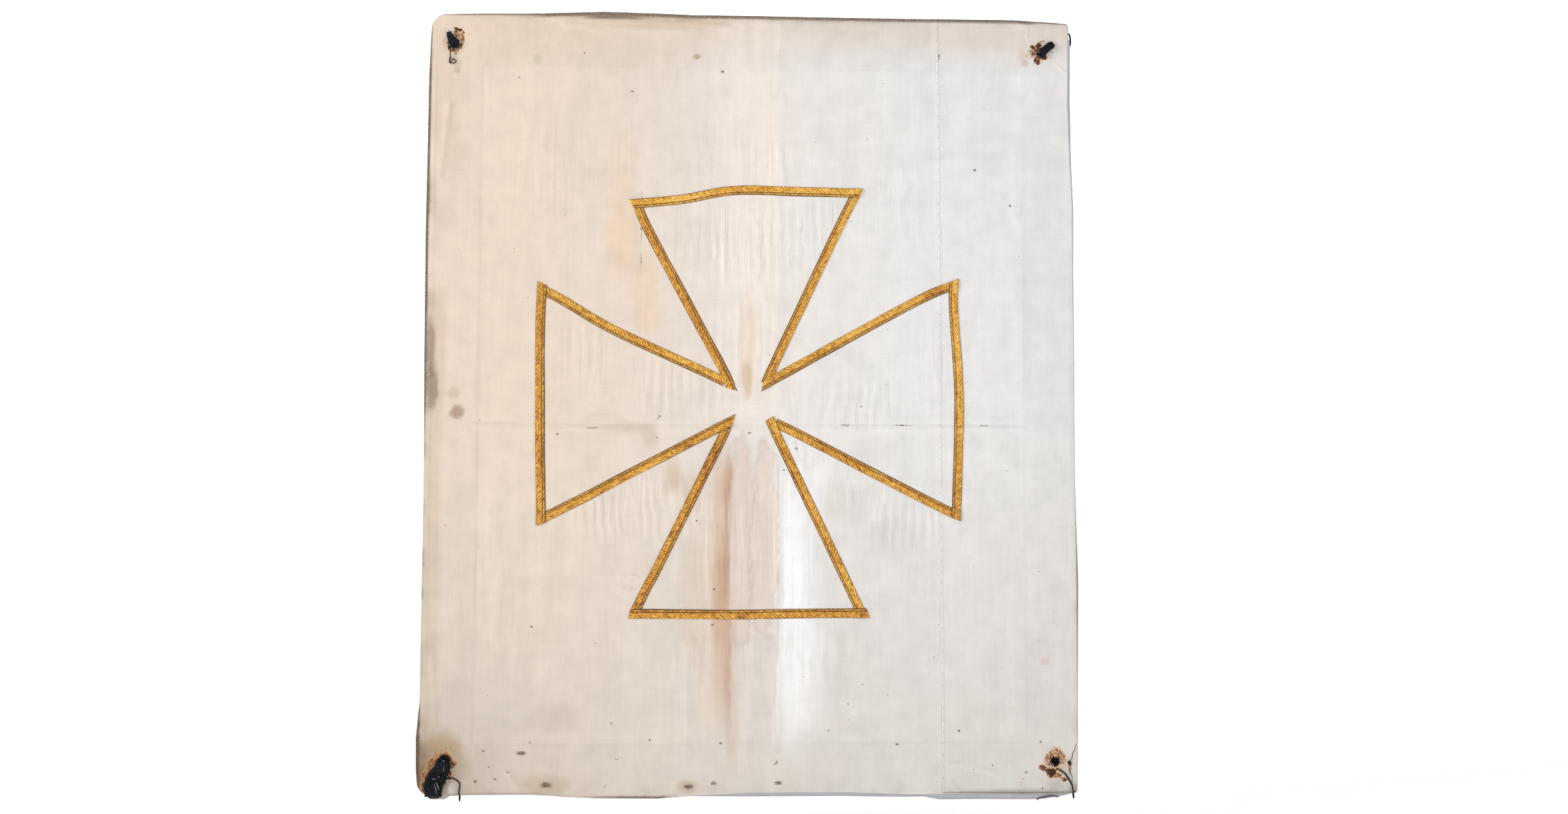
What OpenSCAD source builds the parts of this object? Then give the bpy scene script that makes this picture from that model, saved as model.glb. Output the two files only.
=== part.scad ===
// Lined silk banner with a gold-lace cross, four corner eyelets and the remains of its ties.
// It hangs upright: X runs right, Z runs up, and the silk front faces -Y.
// The origin is on the line through the two top eyelets, halfway across the cloth.

/* [Banner] */
// Width of the silk front
banner_w = 635; // [520:1:780]
// Height of the silk front
banner_h = 762; // [620:1:930]
// Radius of the two left corners
left_corner_r = 14; // [4:1:20]
// Radius of the two right corners
right_corner_r = 4; // [1:1:12]
// Height of the top edge above the hang line
top_above_hang = 30; // [24:1:40]

/* [Cloth layers] */
// Thickness of the silk
silk_t = 0.3; // [0.2:0.1:0.6]
// Thickness of the stiff canvas inside
canvas_t = 1; // [0.8:0.1:2]
// Thickness of the border strips
border_t = 0.6; // [0.4:0.1:1.2]
// Thickness of the lining
lining_t = 0.3; // [0.2:0.1:0.6]
// Width of the border strips
border_w = 50; // [45:1:70]
// How far the silk turns in behind the edge
turn_in = 44; // [42:1:60]
// How far the lining has slipped below the silk at the bottom right
lining_slip = 5; // [0:0.5:9]
// How far the lining stops inside the silk's edge elsewhere
lining_in = 1; // [0.5:0.5:3]

/* [Silk seam] */
// Width of the silk's right-hand panel at the top
side_panel_top_w = 137; // [60:1:220]
// Width of the silk's right-hand panel at the bottom
side_panel_bottom_w = 133; // [60:1:220]
// Width of each seam allowance, pressed open behind the silk
seam_allowance = 8; // [4:1:14]

/* [Cross] */
// Width over the two side arms
cross_w = 415; // [345:1:500]
// Height over the top and bottom arms
cross_h = 424; // [350:1:510]
// Centre of the cross to the right of the banner's middle
cross_x = -3.5; // [-10:0.5:10]
// Centre of the cross below the middle of the cloth
cross_drop = 0; // [-20:1:20]
// Width of the lace
lace_w = 8.8; // [7:0.1:11]
// Thickness of the lace
lace_t = 0.8; // [0.5:0.1:1.4]

/* [Eyelets] */
// Bore radius of the eyelets
eyelet_r = 4.75; // [4.5:0.05:6]
// Wall of the eyelet barrel
barrel_wall = 0.6; // [0.4:0.1:1]
// Outer radius of the flange and of the washer
flange_r = 10; // [8.5:0.5:12]
// Thickness of the flange and of the washer
flange_t = 0.5; // [0.3:0.1:0.6]
// Extra radius of the hole in the silk and in the lining
cloth_hole_gap = 0.25; // [0.1:0.05:1]
// Top left eyelet from the left edge
top_left_inset = 22; // [18:1:32]
// Top right eyelet from the right edge
top_right_inset = 31; // [18:1:32]
// Bottom left eyelet from the left edge
bottom_left_inset = 24.5; // [18:0.5:32]
// Bottom right eyelet from the right edge
bottom_right_inset = 23; // [18:1:32]
// Bottom left eyelet above the bottom edge
bottom_left_rise = 34; // [20:1:38]
// Bottom right eyelet above the bottom edge
bottom_right_rise = 32; // [20:1:38]

/* [Ties] */
// Clearance of a turning tie from the cloth
tie_gap = 0.5; // [0.3:0.1:1.5]
// Thickness of the folded tape
tape_t = 2.6; // [1.6:0.1:3.4]
// Width of the tape in the top right eyelet
strap_w = 8.2; // [6:0.1:8.4]
// Diameter of the loose black threads
thread_d = 1.2; // [1:0.1:1.5]

/* [Stitches] */
// Distance between stitches along the lace
lace_stitch_pitch = 12; // [8:1:30]
// Distance between the slip stitches round the lining
edge_stitch_pitch = 16; // [10:1:40]
// Distance between the stitches along the silk seam
seam_stitch_pitch = 20; // [10:1:40]
// Length of one stitch
stitch_len = 2.4; // [1.5:0.1:4]

/* [Hidden] */
$fn = 48;
half_w = banner_w / 2;
top_z = top_above_hang;
bottom_z = top_z - banner_h;
stitch_w = 0.5;
stitch_t = 0.2;

// Depths of the layers, counted from the middle of the canvas
canvas_front = -0.7;
silk_front = canvas_front - silk_t;
lace_front = silk_front - lace_t;
canvas_back = canvas_front + canvas_t;
border_back = canvas_back + border_t;
turn_back = border_back + silk_t;
lining_back = turn_back + lining_t;
barrel_r = eyelet_r + barrel_wall;
tie_front = silk_front - tie_gap;
tie_back = lining_back + tie_gap;
cloth_hole_r = eyelet_r + cloth_hole_gap;

// Where the thread tail hangs from the top left tie, from the eyelet
tail_pivot = [-3.2, -5.5];

// Eyelet centres
TOP_LEFT = [-half_w + top_left_inset, 0];
TOP_RIGHT = [half_w - top_right_inset, 0];
BOTTOM_LEFT = [-half_w + bottom_left_inset, bottom_z + bottom_left_rise];
BOTTOM_RIGHT = [half_w - bottom_right_inset, bottom_z + bottom_right_rise];
CORNERS = [
    ["top_left", TOP_LEFT], ["top_right", TOP_RIGHT],
    ["bottom_left", BOTTOM_LEFT], ["bottom_right", BOTTOM_RIGHT]
];

// The cross is sewn by hand and isn't quite regular. Each lace length has its centre line,
// about the middle of the cross when the cross is CROSS_DRAWN in size, the slant of its two
// ends, and the numbers of the lengths that lie over it. The outer edge is on its left.
CROSS_DRAWN = [415, 424];
cross_centre = [cross_x, (top_z + bottom_z) / 2 - cross_drop];
LACES = [
    ["top_left_leg", [[-17.5, 11.5], [-28.5, 35.5], [-98, 165], [-111, 194]], [0.8, 0], [1]],
    ["top_bar", [[-116.5, 193.5], [-66, 199], [-15.5, 208], [48, 207.5], [110, 206.5]], [-0.6, 0.45], []],
    ["top_right_leg", [[105, 206], [82.5, 160.5], [25.5, 38.5], [17.5, 19.5]], [0, 0], [1, 3]],
    ["right_upper_leg", [[13.5, 16], [50, 36.5], [126, 79], [177, 106], [201.5, 116]], [1, 0], [4]],
    ["right_bar", [[202, 120.5], [201.5, 92], [206, 16], [205.5, -47], [203, -114.5]], [-0.45, 0.5], []],
    ["right_lower_leg", [[203.5, -111], [185, -102], [136, -77.5], [53, -34.5], [27, -22]], [0, 0], [4, 6]],
    ["bottom_right_leg", [[20, -17], [27, -33], [33.5, -46.5], [99.5, -184], [109.5, -206]], [-0.1, 0], [7]],
    ["bottom_bar", [[116.5, -206.2], [48, -206.2], [-14, -207.5], [-114.5, -206.7]], [-0.4, 0.4], []],
    ["bottom_left_leg", [[-110.5, -206.5], [-98, -180.5], [-87, -160], [-32, -48], [-22.5, -27]], [0, 0], [7, 9]],
    ["left_lower_leg", [[-15, -18.5], [-44, -33.5], [-138, -83.5], [-175, -102.5], [-201, -116]], [1, 0], [10]],
    ["left_bar", [[-200.8, -120.5], [-203.5, -12], [-204, 76], [-202.5, 114]], [-0.3, 0.4], []],
    ["left_upper_leg", [[-203, 108.5], [-181, 97], [-143, 74.5], [-105, 56], [-48, 30.5], [-25.5, 19.5]],
        [0, 0], [10, 0]]
];

// Routes of the loose threads: X and Z from the eyelet, and the side that they lie on.
// 1 is on the silk, 0 is under the bottom edge and -1 is on the lining.
LOOP_THREAD = [
    [0.9, -17, 1], [4, -15.5, 1], [8, -15, 1], [12, -17, 1], [15, -20, 1], [15, -24, 1], [14.5, -28, 1],
    [15, -32, 1], [15, -34.5, 1.1], [15, -36.5, 0.7], [15, -37, 0.1], [15, -36.5, -0.6], [15, -34.5, -1],
    [15, -31, -1], [13, -27, -1], [9, -23, -1], [4, -20, -1]
];
CORNER_THREAD = [
    [1, -6.5, 1], [5, -8, 1], [9, -10.5, 1], [12.5, -15, 1], [15.5, -20, 1], [17, -25, 1], [17.5, -30, 1],
    [18, -32.5, 1.1], [18, -34.5, 0.7], [18, -35, 0.1], [18, -34.5, -0.6], [18, -32.5, -1],
    [17.5, -29, -1], [16, -24, -1], [13, -18, -1], [9, -13, -1], [4, -9, -1]
];

function unit(v) = v / norm(v);
function arc(at, r, from, to, steps = 8) = [
    for (k = [0 : steps]) at + r * [cos(from + (to - from) * k / steps), sin(from + (to - from) * k / steps)]
];
function left_of(v) = [-v[1], v[0]];
function heading(p, i) =
    i == 0 ? unit(p[1] - p[0])
    : i == len(p) - 1 ? unit(p[i] - p[i - 1])
    : unit(unit(p[i] - p[i - 1]) + unit(p[i + 1] - p[i]));

// A line beside a centre line, at distance d to its left, with slanted ends
function beside(p, d, slant) = [
    for (i = [0 : len(p) - 1])
        p[i] + d * left_of(heading(p, i))
        + (i == 0 ? slant[0] * d * heading(p, i) : i == len(p) - 1 ? slant[1] * d * heading(p, i) : [0, 0])
];
function backwards(p) = [for (i = [len(p) - 1 : -1 : 0]) p[i]];
function lengthened(p, by) = [
    for (i = [0 : len(p) - 1])
        i == 0 ? p[0] - by * heading(p, 0)
        : i == len(p) - 1 ? p[i] + by * heading(p, i) : p[i]
];
function on_cross(p) = [
    for (q = p) cross_centre + [q[0] * cross_w / CROSS_DRAWN[0], q[1] * cross_h / CROSS_DRAWN[1]]
];
function lace_line(i) = on_cross(LACES[i][1]);

// A flat shape in X and Z, between two depths
module layer(front, back)
    translate([0, back, 0]) rotate([90, 0, 0]) linear_extrude(back - front) children();

// The banner's outline, drawn in by a distance
module outline(by = 0) {
    left = -half_w + by;
    right = half_w - by;
    top = top_z - by;
    bottom = bottom_z + by;
    lr = left_corner_r - min(by, left_corner_r - 1);
    rr = max(right_corner_r - by, 0.5);
    difference() {
        polygon([[left, bottom], [right, bottom], [right, top], [left, top]]);
        for (c = [[left, bottom, lr, 1, 1], [left, top, lr, 1, -1], [right, bottom, rr, -1, 1], [right, top, rr, -1, -1]])
            corner_waste(c[0], c[1], c[2], c[3], c[4]);
    }
}

// What is cut off a square corner to round it
module corner_waste(x, z, r, sx, sz)
    difference() {
        translate([x + sx * (r / 2 - 0.5), z + sz * (r / 2 - 0.5)]) square(r + 1, center = true);
        translate([x + sx * r, z + sz * r]) circle(r);
    }

// Everything to the left of the seam line, or of a line beside it
module left_of_seam(shift = 0)
    polygon([
        [-half_w - 10, bottom_z - 10], [half_w - side_panel_bottom_w + shift, bottom_z - 10],
        [half_w - side_panel_top_w + shift, top_z + 10], [-half_w - 10, top_z + 10]
    ]);

module frame_band(w) difference() {
    outline();
    polygon([
        [-half_w + w, bottom_z + w], [half_w - w, bottom_z + w],
        [half_w - w, top_z - w], [-half_w + w, top_z - w]
    ]);
}

module at_corners(r, front, back)
    for (c = CORNERS) translate([c[1][0], back, c[1][1]]) rotate([90, 0, 0]) cylinder(r = r, h = back - front);

// The silk with its edge turned round the canvas and in behind it
module whole_silk() difference() {
    union() {
        layer(silk_front, canvas_front) intersection() { outline(); children(); }
        layer(canvas_front, border_back) intersection() {
            difference() { outline(); outline(silk_t); }
            children();
        }
        layer(border_back, turn_back) intersection() { frame_band(turn_in); children(); }
    }
    at_corners(cloth_hole_r, silk_front - 1, canvas_front);
    at_corners(barrel_r, border_back - 1, turn_back + 1);
    at_corners(flange_r, turn_back - flange_t, turn_back + 1);
}

// One pressed-open seam allowance, let into the canvas
module allowance(from, to) layer(canvas_front, canvas_front + silk_t) intersection() {
    outline(silk_t);
    difference() { left_of_seam(to); left_of_seam(from); }
}

module silk_main_panel() color("antiquewhite") {
    whole_silk() left_of_seam();
    allowance(-seam_allowance, 0);
}

module silk_side_panel() color("linen") {
    whole_silk() difference() { outline(); left_of_seam(); }
    allowance(0, seam_allowance);
}

module canvas_interlining() color("burlywood") difference() {
    layer(canvas_front, canvas_back) outline(silk_t);
    allowance(-seam_allowance, seam_allowance);
    at_corners(barrel_r, canvas_front - 1, canvas_back + 1);
    at_corners(flange_r, canvas_front - 1, canvas_front + flange_t);
}

// One border strip: what lies inside the given box of the border
module border_strip(low, high) color("wheat") difference() {
    layer(canvas_back, border_back) intersection() {
        outline(silk_t);
        polygon([low, [high[0], low[1]], high, [low[0], high[1]]]);
    }
    at_corners(barrel_r, canvas_back - 1, border_back + 1);
    at_corners(flange_r, turn_back - flange_t, border_back + 1);
}

module border_strip_top() border_strip([-half_w, top_z - border_w], [half_w, top_z]);
module border_strip_bottom() border_strip([-half_w, bottom_z], [half_w, bottom_z + border_w]);
module border_strip_left()
    border_strip([-half_w, bottom_z + border_w], [-half_w + border_w, top_z - border_w]);
module border_strip_right()
    border_strip([half_w - border_w, bottom_z + border_w], [half_w, top_z - border_w]);

// The lining has slipped a little down and to the right, so it peeps past the silk
module back_lining() color("lightsteelblue") difference() {
    r = left_corner_r - lining_in;
    x = left_corner_r - half_w;
    layer(turn_back, lining_back) polygon(concat(
        arc([x, bottom_z + left_corner_r], r, 180, 270),
        [
            [0, bottom_z + lining_in], [half_w * 0.3, bottom_z - lining_slip * 0.3],
            [half_w - 150, bottom_z - lining_slip], [half_w - 30, bottom_z - lining_slip * 1.2],
            [half_w - 8, bottom_z - lining_slip * 0.4], [half_w + 1, bottom_z + 6],
            [half_w + 2, bottom_z + 220], [half_w + 0.5, top_z - 350], [half_w + 0.5, top_z - 150],
            [half_w + 2.5, top_z - 90], [half_w + 2.5, top_z - 35], [half_w - 2, top_z - 20],
            [half_w - 2, top_z - 4], [half_w - 5, top_z - lining_in], [-half_w + 230, top_z - lining_in],
            [-half_w + 190, top_z + 1.5], [-half_w + 100, top_z + 1.5], [-half_w + 60, top_z - lining_in]
        ],
        arc([x, top_z - left_corner_r], r, 90, 180)
    ));
    at_corners(cloth_hole_r, turn_back - 1, lining_back + 1);
}

module lace_outline(i, by = 0) {
    p = lengthened(lace_line(i), by);
    slant = LACES[i][2];
    polygon(concat(beside(p, lace_w / 2, slant), backwards(beside(p, -lace_w / 2, slant))));
}

// One length of lace, butted against the lengths that lie over its ends
module lace(i) color("goldenrod") layer(lace_front, silk_front) difference() {
    lace_outline(i);
    for (over = LACES[i][3]) lace_outline(over, lace_w);
}

// Short bars along a line, on the surface at a depth
module stitches(p, pitch, depth, len = stitch_len)
    for (i = [0 : max(len(p) - 2, 0)]) {
        run = norm(p[i + 1] - p[i]);
        count = floor(run / pitch);
        if (count > 0) for (k = [0 : count - 1]) {
            q = p[i] + (k + 0.5) * run / count * unit(p[i + 1] - p[i]);
            turn = atan2(p[i + 1][1] - p[i][1], p[i + 1][0] - p[i][0]);
            layer(depth - stitch_t, depth) translate(q) rotate(turn) square([len, stitch_w], center = true);
        }
    }

module lace_stitches() color("darkgoldenrod")
    for (i = [0 : len(LACES) - 1])
        stitches(beside(lengthened(lace_line(i), -lace_w), -lace_w / 4, [0, 0]), lace_stitch_pitch, lace_front);

// The seam stitches stop where the lace lies over them
module seam_stitches() color("tan") difference() {
    beside_seam = 1.5;
    end_gap = 12;
    stitches([
        [half_w - side_panel_top_w + beside_seam, top_z - end_gap],
        [half_w - side_panel_bottom_w + beside_seam, bottom_z + end_gap]
    ], seam_stitch_pitch, silk_front);
    layer(lace_front, silk_front) for (i = [0 : len(LACES) - 1]) lace_outline(i, stitch_len);
}

// The slip stitches run round the lining, and skip the tie at the bottom left
module edge_stitches() color("tan") {
    in = 5;
    corner = 20;
    tie = 40;
    stitches([
        [-half_w + in, bottom_z + corner], [-half_w + in, top_z - corner], [-half_w + corner, top_z - in],
        [half_w - corner, top_z - in], [half_w - in, top_z - corner], [half_w - in, bottom_z + corner],
        [half_w - corner, bottom_z + in], [-half_w + tie, bottom_z + in]
    ], edge_stitch_pitch, lining_back + stitch_t);
}

// A flanged barrel, set in the canvas under the silk
module eyelet(at) color("saddlebrown") translate([at[0], 0, at[1]]) rotate([90, 0, 0]) difference() {
    union() {
        translate([0, 0, -turn_back]) cylinder(r = barrel_r, h = turn_back - canvas_front);
        translate([0, 0, -canvas_front - flange_t]) cylinder(r = flange_r, h = flange_t);
    }
    translate([0, 0, -turn_back - 1]) cylinder(r = eyelet_r, h = turn_back - canvas_front + 2);
}

module washer(at) color("sienna") translate([at[0], 0, at[1]]) rotate([90, 0, 0]) difference() {
    translate([0, 0, -turn_back]) cylinder(r = flange_r, h = flange_t);
    translate([0, 0, -turn_back - 1]) cylinder(r = barrel_r, h = flange_t + 2);
}

// The outline of a strip with round ends, from one point to another
module tongue(a, b, w) {
    turn = atan2(b[1] - a[1], b[0] - a[0]);
    polygon(concat(arc(b, w / 2, turn - 90, turn + 90), arc(a, w / 2, turn + 90, turn + 270)));
}

// The round neck of a tie, through its eyelet
module neck(r, front, back)
    translate([0, back, 0]) rotate([90, 0, 0]) cylinder(r = r, h = back - front);

// Top left: a doubled tape stands up from the eyelet, with a knot at its foot
module tie_top_left() color("black") translate([TOP_LEFT[0], 0, TOP_LEFT[1]]) {
    layer(tie_front - tape_t, tie_front) {
        tongue([-3.5, 9.5], [-0.5, -1.5], 6.2);
        tongue([1.5, 3], [2, -3.5], 5);
        tongue([-1, -2], tail_pivot, 3);
    }
    neck(eyelet_r - 1.4, tie_front - 1, tie_back + 1);
    layer(tie_back, tie_back + tape_t) tongue([-7, 2], [6, -3], 6);
}

// The knotted tail hangs from the knot and ends in two small loops
module thread_tail_top_left() color("black") translate([TOP_LEFT[0] + tail_pivot[0], 0, tail_pivot[1]]) {
    back = tie_front - (tape_t - thread_d) / 2;
    layer(back - thread_d, back) difference() {
        polygon([
            [-thread_d / 2, -2.2], [thread_d / 2, -2.2], [thread_d / 2 - 0.4, -7.5], [1.4, -9.6], [3.5, -10.6],
            [6, -12.3], [4.4, -13.8], [1.8, -14.9], [0, -14.4], [-0.7, -12.4], [-0.4, -10], [-thread_d / 2 - 0.5, -7.5]
        ]);
        polygon([[0.8, -11.4], [1, -13.2], [0.3, -13]]);
        polygon([[2.2, -11.6], [4.2, -12.3], [2.6, -13.2]]);
    }
}

// Top right: a ribbed strap folded through the eyelet, with its back loop past the edge
module tie_top_right() color("black") translate([TOP_RIGHT[0], 0, TOP_RIGHT[1]]) {
    layer(tie_front - tape_t, tie_front) {
        tongue([1.5, -2.5], [11.5, 8.5], strap_w);
        tongue([0.5, -1], [0.8, -4], 4.4);
    }
    neck(strap_w / 2 - 0.6, tie_front - 1, tie_back + 1);
    layer(tie_back, tie_back + tape_t) tongue([0, 0], [27, 13], strap_w + 4);
}

// Bottom left: a bundle of tape lashed round the bottom edge and back through the eyelet
module tie_bottom_left() color("midnightblue") {
    foot = bottom_z - BOTTOM_LEFT[1];
    edge = foot - tape_t - 0.6;
    translate([BOTTOM_LEFT[0], 0, BOTTOM_LEFT[1]]) {
        neck(eyelet_r - 0.4, silk_front - 1, lining_back + 1);
        layer(silk_front - 2 * tape_t, silk_front) polygon([
            [-4.4, 4.5], [1.5, 6], [6, 1], [2, -9], [0.2, -17], [-1.6, -24], [-1.5, edge],
            [-17.5, edge], [-17, -19], [-14.5, -11], [-9.4, -2.5]
        ]);
        layer(silk_front - 1, lining_back + 1) polygon([
            [-1.5, edge], [-17.5, edge], [-17.5, foot - 0.6], [-1.5, foot - 0.6]
        ]);
        layer(lining_back, lining_back + tape_t) polygon([
            [-5, 5.5], [5.5, 4.5], [4, -12], [-1.5, edge], [-17.5, edge], [-13, -14]
        ]);
    }
}

// A round thread along points, each ring square to the way that the thread runs
function direction(p, i) = unit(p[min(i + 1, len(p) - 1)] - p[max(i - 1, 0)]);
function ring(p, i, r, sides) =
    let (t = direction(p, i), u = unit(cross(t, abs(t[0]) < 0.9 ? [1, 0, 0] : [0, 0, 1])), v = cross(t, u))
    [for (k = [0 : sides - 1]) p[i] + r * (cos(360 * k / sides) * u + sin(360 * k / sides) * v)];
module thread(p, r, sides = 8) {
    last = (len(p) - 1) * sides;
    polyhedron(
        points = [for (i = [0 : len(p) - 1]) each ring(p, i, r, sides)],
        faces = concat(
            [[for (k = [0 : sides - 1]) k]],
            [[for (k = [sides - 1 : -1 : 0]) last + k]],
            [for (i = [0 : len(p) - 2], k = [0 : sides - 1])
                [i * sides + k, (i + 1) * sides + k, (i + 1) * sides + (k + 1) % sides, i * sides + (k + 1) % sides]]
        )
    );
}

// Depth of a thread's middle: on the silk, under the edge or on the lining
function thread_depth(side) =
    side >= 0 ? -side * (thread_d / 2 + 0.1 - silk_front) : -side * (thread_d / 2 + 0.1 + lining_back);
function thread_route(at, p) = [for (q = p) [at[0] + q[0], thread_depth(q[2]), at[1] + q[1]]];

module thread_loop_bottom_left() color("black") thread(thread_route(BOTTOM_LEFT, LOOP_THREAD), thread_d / 2);
module corner_thread_bottom_right() color("black")
    thread(thread_route(BOTTOM_RIGHT, CORNER_THREAD), thread_d / 2);

// A short dark thread lies across the lining that shows below the edge
module loose_thread_bottom() color("black") thread([
    for (q = [[-18, -3.6], [-12, -0.8], [-5, 0.4], [4, -0.6]])
        [BOTTOM_RIGHT[0] + q[0], turn_back - thread_d / 2 - 0.05, bottom_z - 1.6 + q[1]]
], thread_d * 0.35);

silk_main_panel();
silk_side_panel();
canvas_interlining();
border_strip_top();
border_strip_bottom();
border_strip_left();
border_strip_right();
back_lining();
for (i = [0 : len(LACES) - 1])
    lace(i);
lace_stitches();
seam_stitches();
edge_stitches();
for (c = CORNERS) {
    eyelet(c[1]);
    washer(c[1]);
}
tie_top_left();
thread_tail_top_left();
tie_top_right();
tie_bottom_left();
thread_loop_bottom_left();
corner_thread_bottom_right();
loose_thread_bottom();
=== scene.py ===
"""The looks of a lined silk banner with a gold-lace cross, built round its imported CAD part.

Lengths are in millimetres until a mesh is made. X runs right, Y back and Z up, and the origin is on
the line through the two top eyelets. Depths count from the middle of the canvas.
"""
import math

import bpy
import numpy as np
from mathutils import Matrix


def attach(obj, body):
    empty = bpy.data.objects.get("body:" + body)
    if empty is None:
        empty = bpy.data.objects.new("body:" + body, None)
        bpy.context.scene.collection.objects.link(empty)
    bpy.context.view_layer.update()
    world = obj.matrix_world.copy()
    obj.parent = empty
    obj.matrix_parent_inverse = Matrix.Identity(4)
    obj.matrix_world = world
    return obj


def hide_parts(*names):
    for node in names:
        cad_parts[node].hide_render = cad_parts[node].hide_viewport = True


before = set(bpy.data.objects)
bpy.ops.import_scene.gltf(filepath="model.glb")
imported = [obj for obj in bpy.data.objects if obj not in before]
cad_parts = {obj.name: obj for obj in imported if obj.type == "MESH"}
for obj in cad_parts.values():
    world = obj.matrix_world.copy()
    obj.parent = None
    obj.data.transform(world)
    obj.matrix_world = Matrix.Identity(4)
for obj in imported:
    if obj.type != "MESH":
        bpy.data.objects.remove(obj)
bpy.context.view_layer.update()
scene = bpy.context.scene

MM = 0.001
HALF_W, TOP, BOTTOM = 317.5, 30.0, -732.0
SILK_Y, TURN_Y = -1.0, 1.15
CANVAS_Y, BORDER_Y, LINING_Y = (-0.6, 0.3), (0.34, 0.88), (1.25, 1.5)
LEFT_R, RIGHT_R = 14.0, 4.0
SEAM_X = 182.5
CREASE_Z = -374.0
TOP_LEFT, TOP_RIGHT = (-295.5, 0.0), (286.5, 0.0)
BOTTOM_LEFT, BOTTOM_RIGHT = (-293.0, -698.0), (294.5, -700.0)
EYELETS = [TOP_LEFT, TOP_RIGHT, BOTTOM_LEFT, BOTTOM_RIGHT]
HOLE_R, BARREL_R = 5.0, 5.4
THREAD_D = 1.2
LACE_W = 8.8
LACE_RIB, LACE_PICOT, LACE_SLANT = 3.8, 1.7, 1.25  # pitch of the ribs, of the scallops, and how far the ribs lean
LACE_GROOVE = 0.23  # where the stitched groove runs, as a share of the width
STRIP_W = 50.0
RAW_IN = 0.6  # how far the inner layers stop short of the edge


# ---------------------------------------------------------------- camera, then the cords

def put(obj):
    scene.collection.objects.link(obj)
    return obj


eye = bpy.data.cameras.new("camera")
eye.lens = 35
eye.sensor_width = 36
eye.sensor_fit = "HORIZONTAL"
camera = put(bpy.data.objects.new("camera", eye))
camera.location = (-0.0302, -1.4871, -0.4571)
camera.rotation_euler = [math.radians(a) for a in (93.863, -0.155, -2.353)]
scene.camera = camera


def curved(points, step):
    """Points about step apart on a smooth line through the given points"""
    p = np.array(points, float)
    p = np.vstack([2 * p[0] - p[1], p, 2 * p[-1] - p[-2]])
    out = []
    for k in range(1, len(p) - 2):
        a, b, c, d = p[k - 1], p[k], p[k + 1], p[k + 2]
        for t in np.arange(0, 1, 1 / max(1, round(np.linalg.norm(c - b) / step))):
            out.append(0.5 * (2 * b + (c - a) * t + (2 * a - 5 * b + 4 * c - d) * t**2
                              + (3 * b - 3 * c + d - a) * t**3))
    return np.array(out + [p[-2]])


def thread_points(at, route):
    """A thread's route in metres: side 1 lies on the silk, 0 under the edge, -1 on the lining"""
    return [((at[0] + x) * MM, (-1.7 * side if side >= 0 else -2.2 * side) * MM, (at[1] + z) * MM)
            for x, z, side in route]


def cord_curve(name, points, diameter):
    curve = bpy.data.curves.new(name, "CURVE")
    curve.dimensions = "3D"
    curve.bevel_depth = diameter / 2
    curve.bevel_resolution = 3
    curve.use_fill_caps = True
    line = curve.splines.new("POLY")
    line.points.add(len(points) - 1)
    for point, p in zip(line.points, points):
        point.co = (*p, 1)
    return put(bpy.data.objects.new(name, curve))


def length_of(points):
    return float(np.linalg.norm(np.diff(np.array(points), axis=0), axis=1).sum())


LOOP_THREAD = [
    (0.9, -17, 1), (4, -15.5, 1), (8, -15, 1), (12, -17, 1), (15, -20, 1), (15, -24, 1), (14.5, -28, 1),
    (15, -32, 1), (15, -34.5, 1.1), (15, -36.5, 0.7), (15, -37, 0.1), (15, -36.5, -0.6), (15, -34.5, -1),
    (15, -31, -1), (13, -27, -1), (9, -23, -1), (4, -20, -1)]
CORNER_THREAD = [
    (1, -6.5, 1), (5, -8, 1), (9, -10.5, 1), (12.5, -15, 1), (15.5, -20, 1), (17, -25, 1), (17.5, -30, 1),
    (18, -32.5, 1.1), (18, -34.5, 0.7), (18, -35, 0.1), (18, -34.5, -0.6), (18, -32.5, -1),
    (17.5, -29, -1), (16, -24, -1), (13, -18, -1), (9, -13, -1), (4, -9, -1)]
loop_path = curved(thread_points(BOTTOM_LEFT, LOOP_THREAD), 2 * MM)
corner_path = curved(thread_points(BOTTOM_RIGHT, CORNER_THREAD), 2.2 * MM)
loop_thread = cord_curve("thread_loop_bottom_left_v", loop_path, THREAD_D * MM)
corner_thread = cord_curve("corner_thread_bottom_right_v", corner_path, THREAD_D * MM)


# ---------------------------------------------------------------- the shape of the cloth

def ease(t):
    t = np.clip(t, 0, 1)
    return t * t * (3 - 2 * t)


def noise(x, z, size, seed):
    """Soft noise from -1 to 1, with features about size wide"""
    lattice = np.random.default_rng(seed).uniform(-1, 1, (64, 64))
    u, v = np.asarray(x, float) / size + 640.5, np.asarray(z, float) / size + 640.5
    i, j = np.floor(u).astype(int), np.floor(v).astype(int)
    fu, fv = ease(u - i), ease(v - j)
    low = lattice[i % 64, j % 64] * (1 - fu) + lattice[(i + 1) % 64, j % 64] * fu
    high = lattice[i % 64, (j + 1) % 64] * (1 - fu) + lattice[(i + 1) % 64, (j + 1) % 64] * fu
    return low * (1 - fv) + high * fv


def rough_noise(x, z, size, seed):
    return (noise(x, z, size, seed) + 0.5 * noise(x, z, size / 2.1, seed + 1)
            + 0.25 * noise(x, z, size / 4.3, seed + 2)) / 1.4


def profile(at, stops):
    stops = sorted(stops)
    return np.interp(at, [s[0] for s in stops], [s[1] for s in stops])


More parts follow.
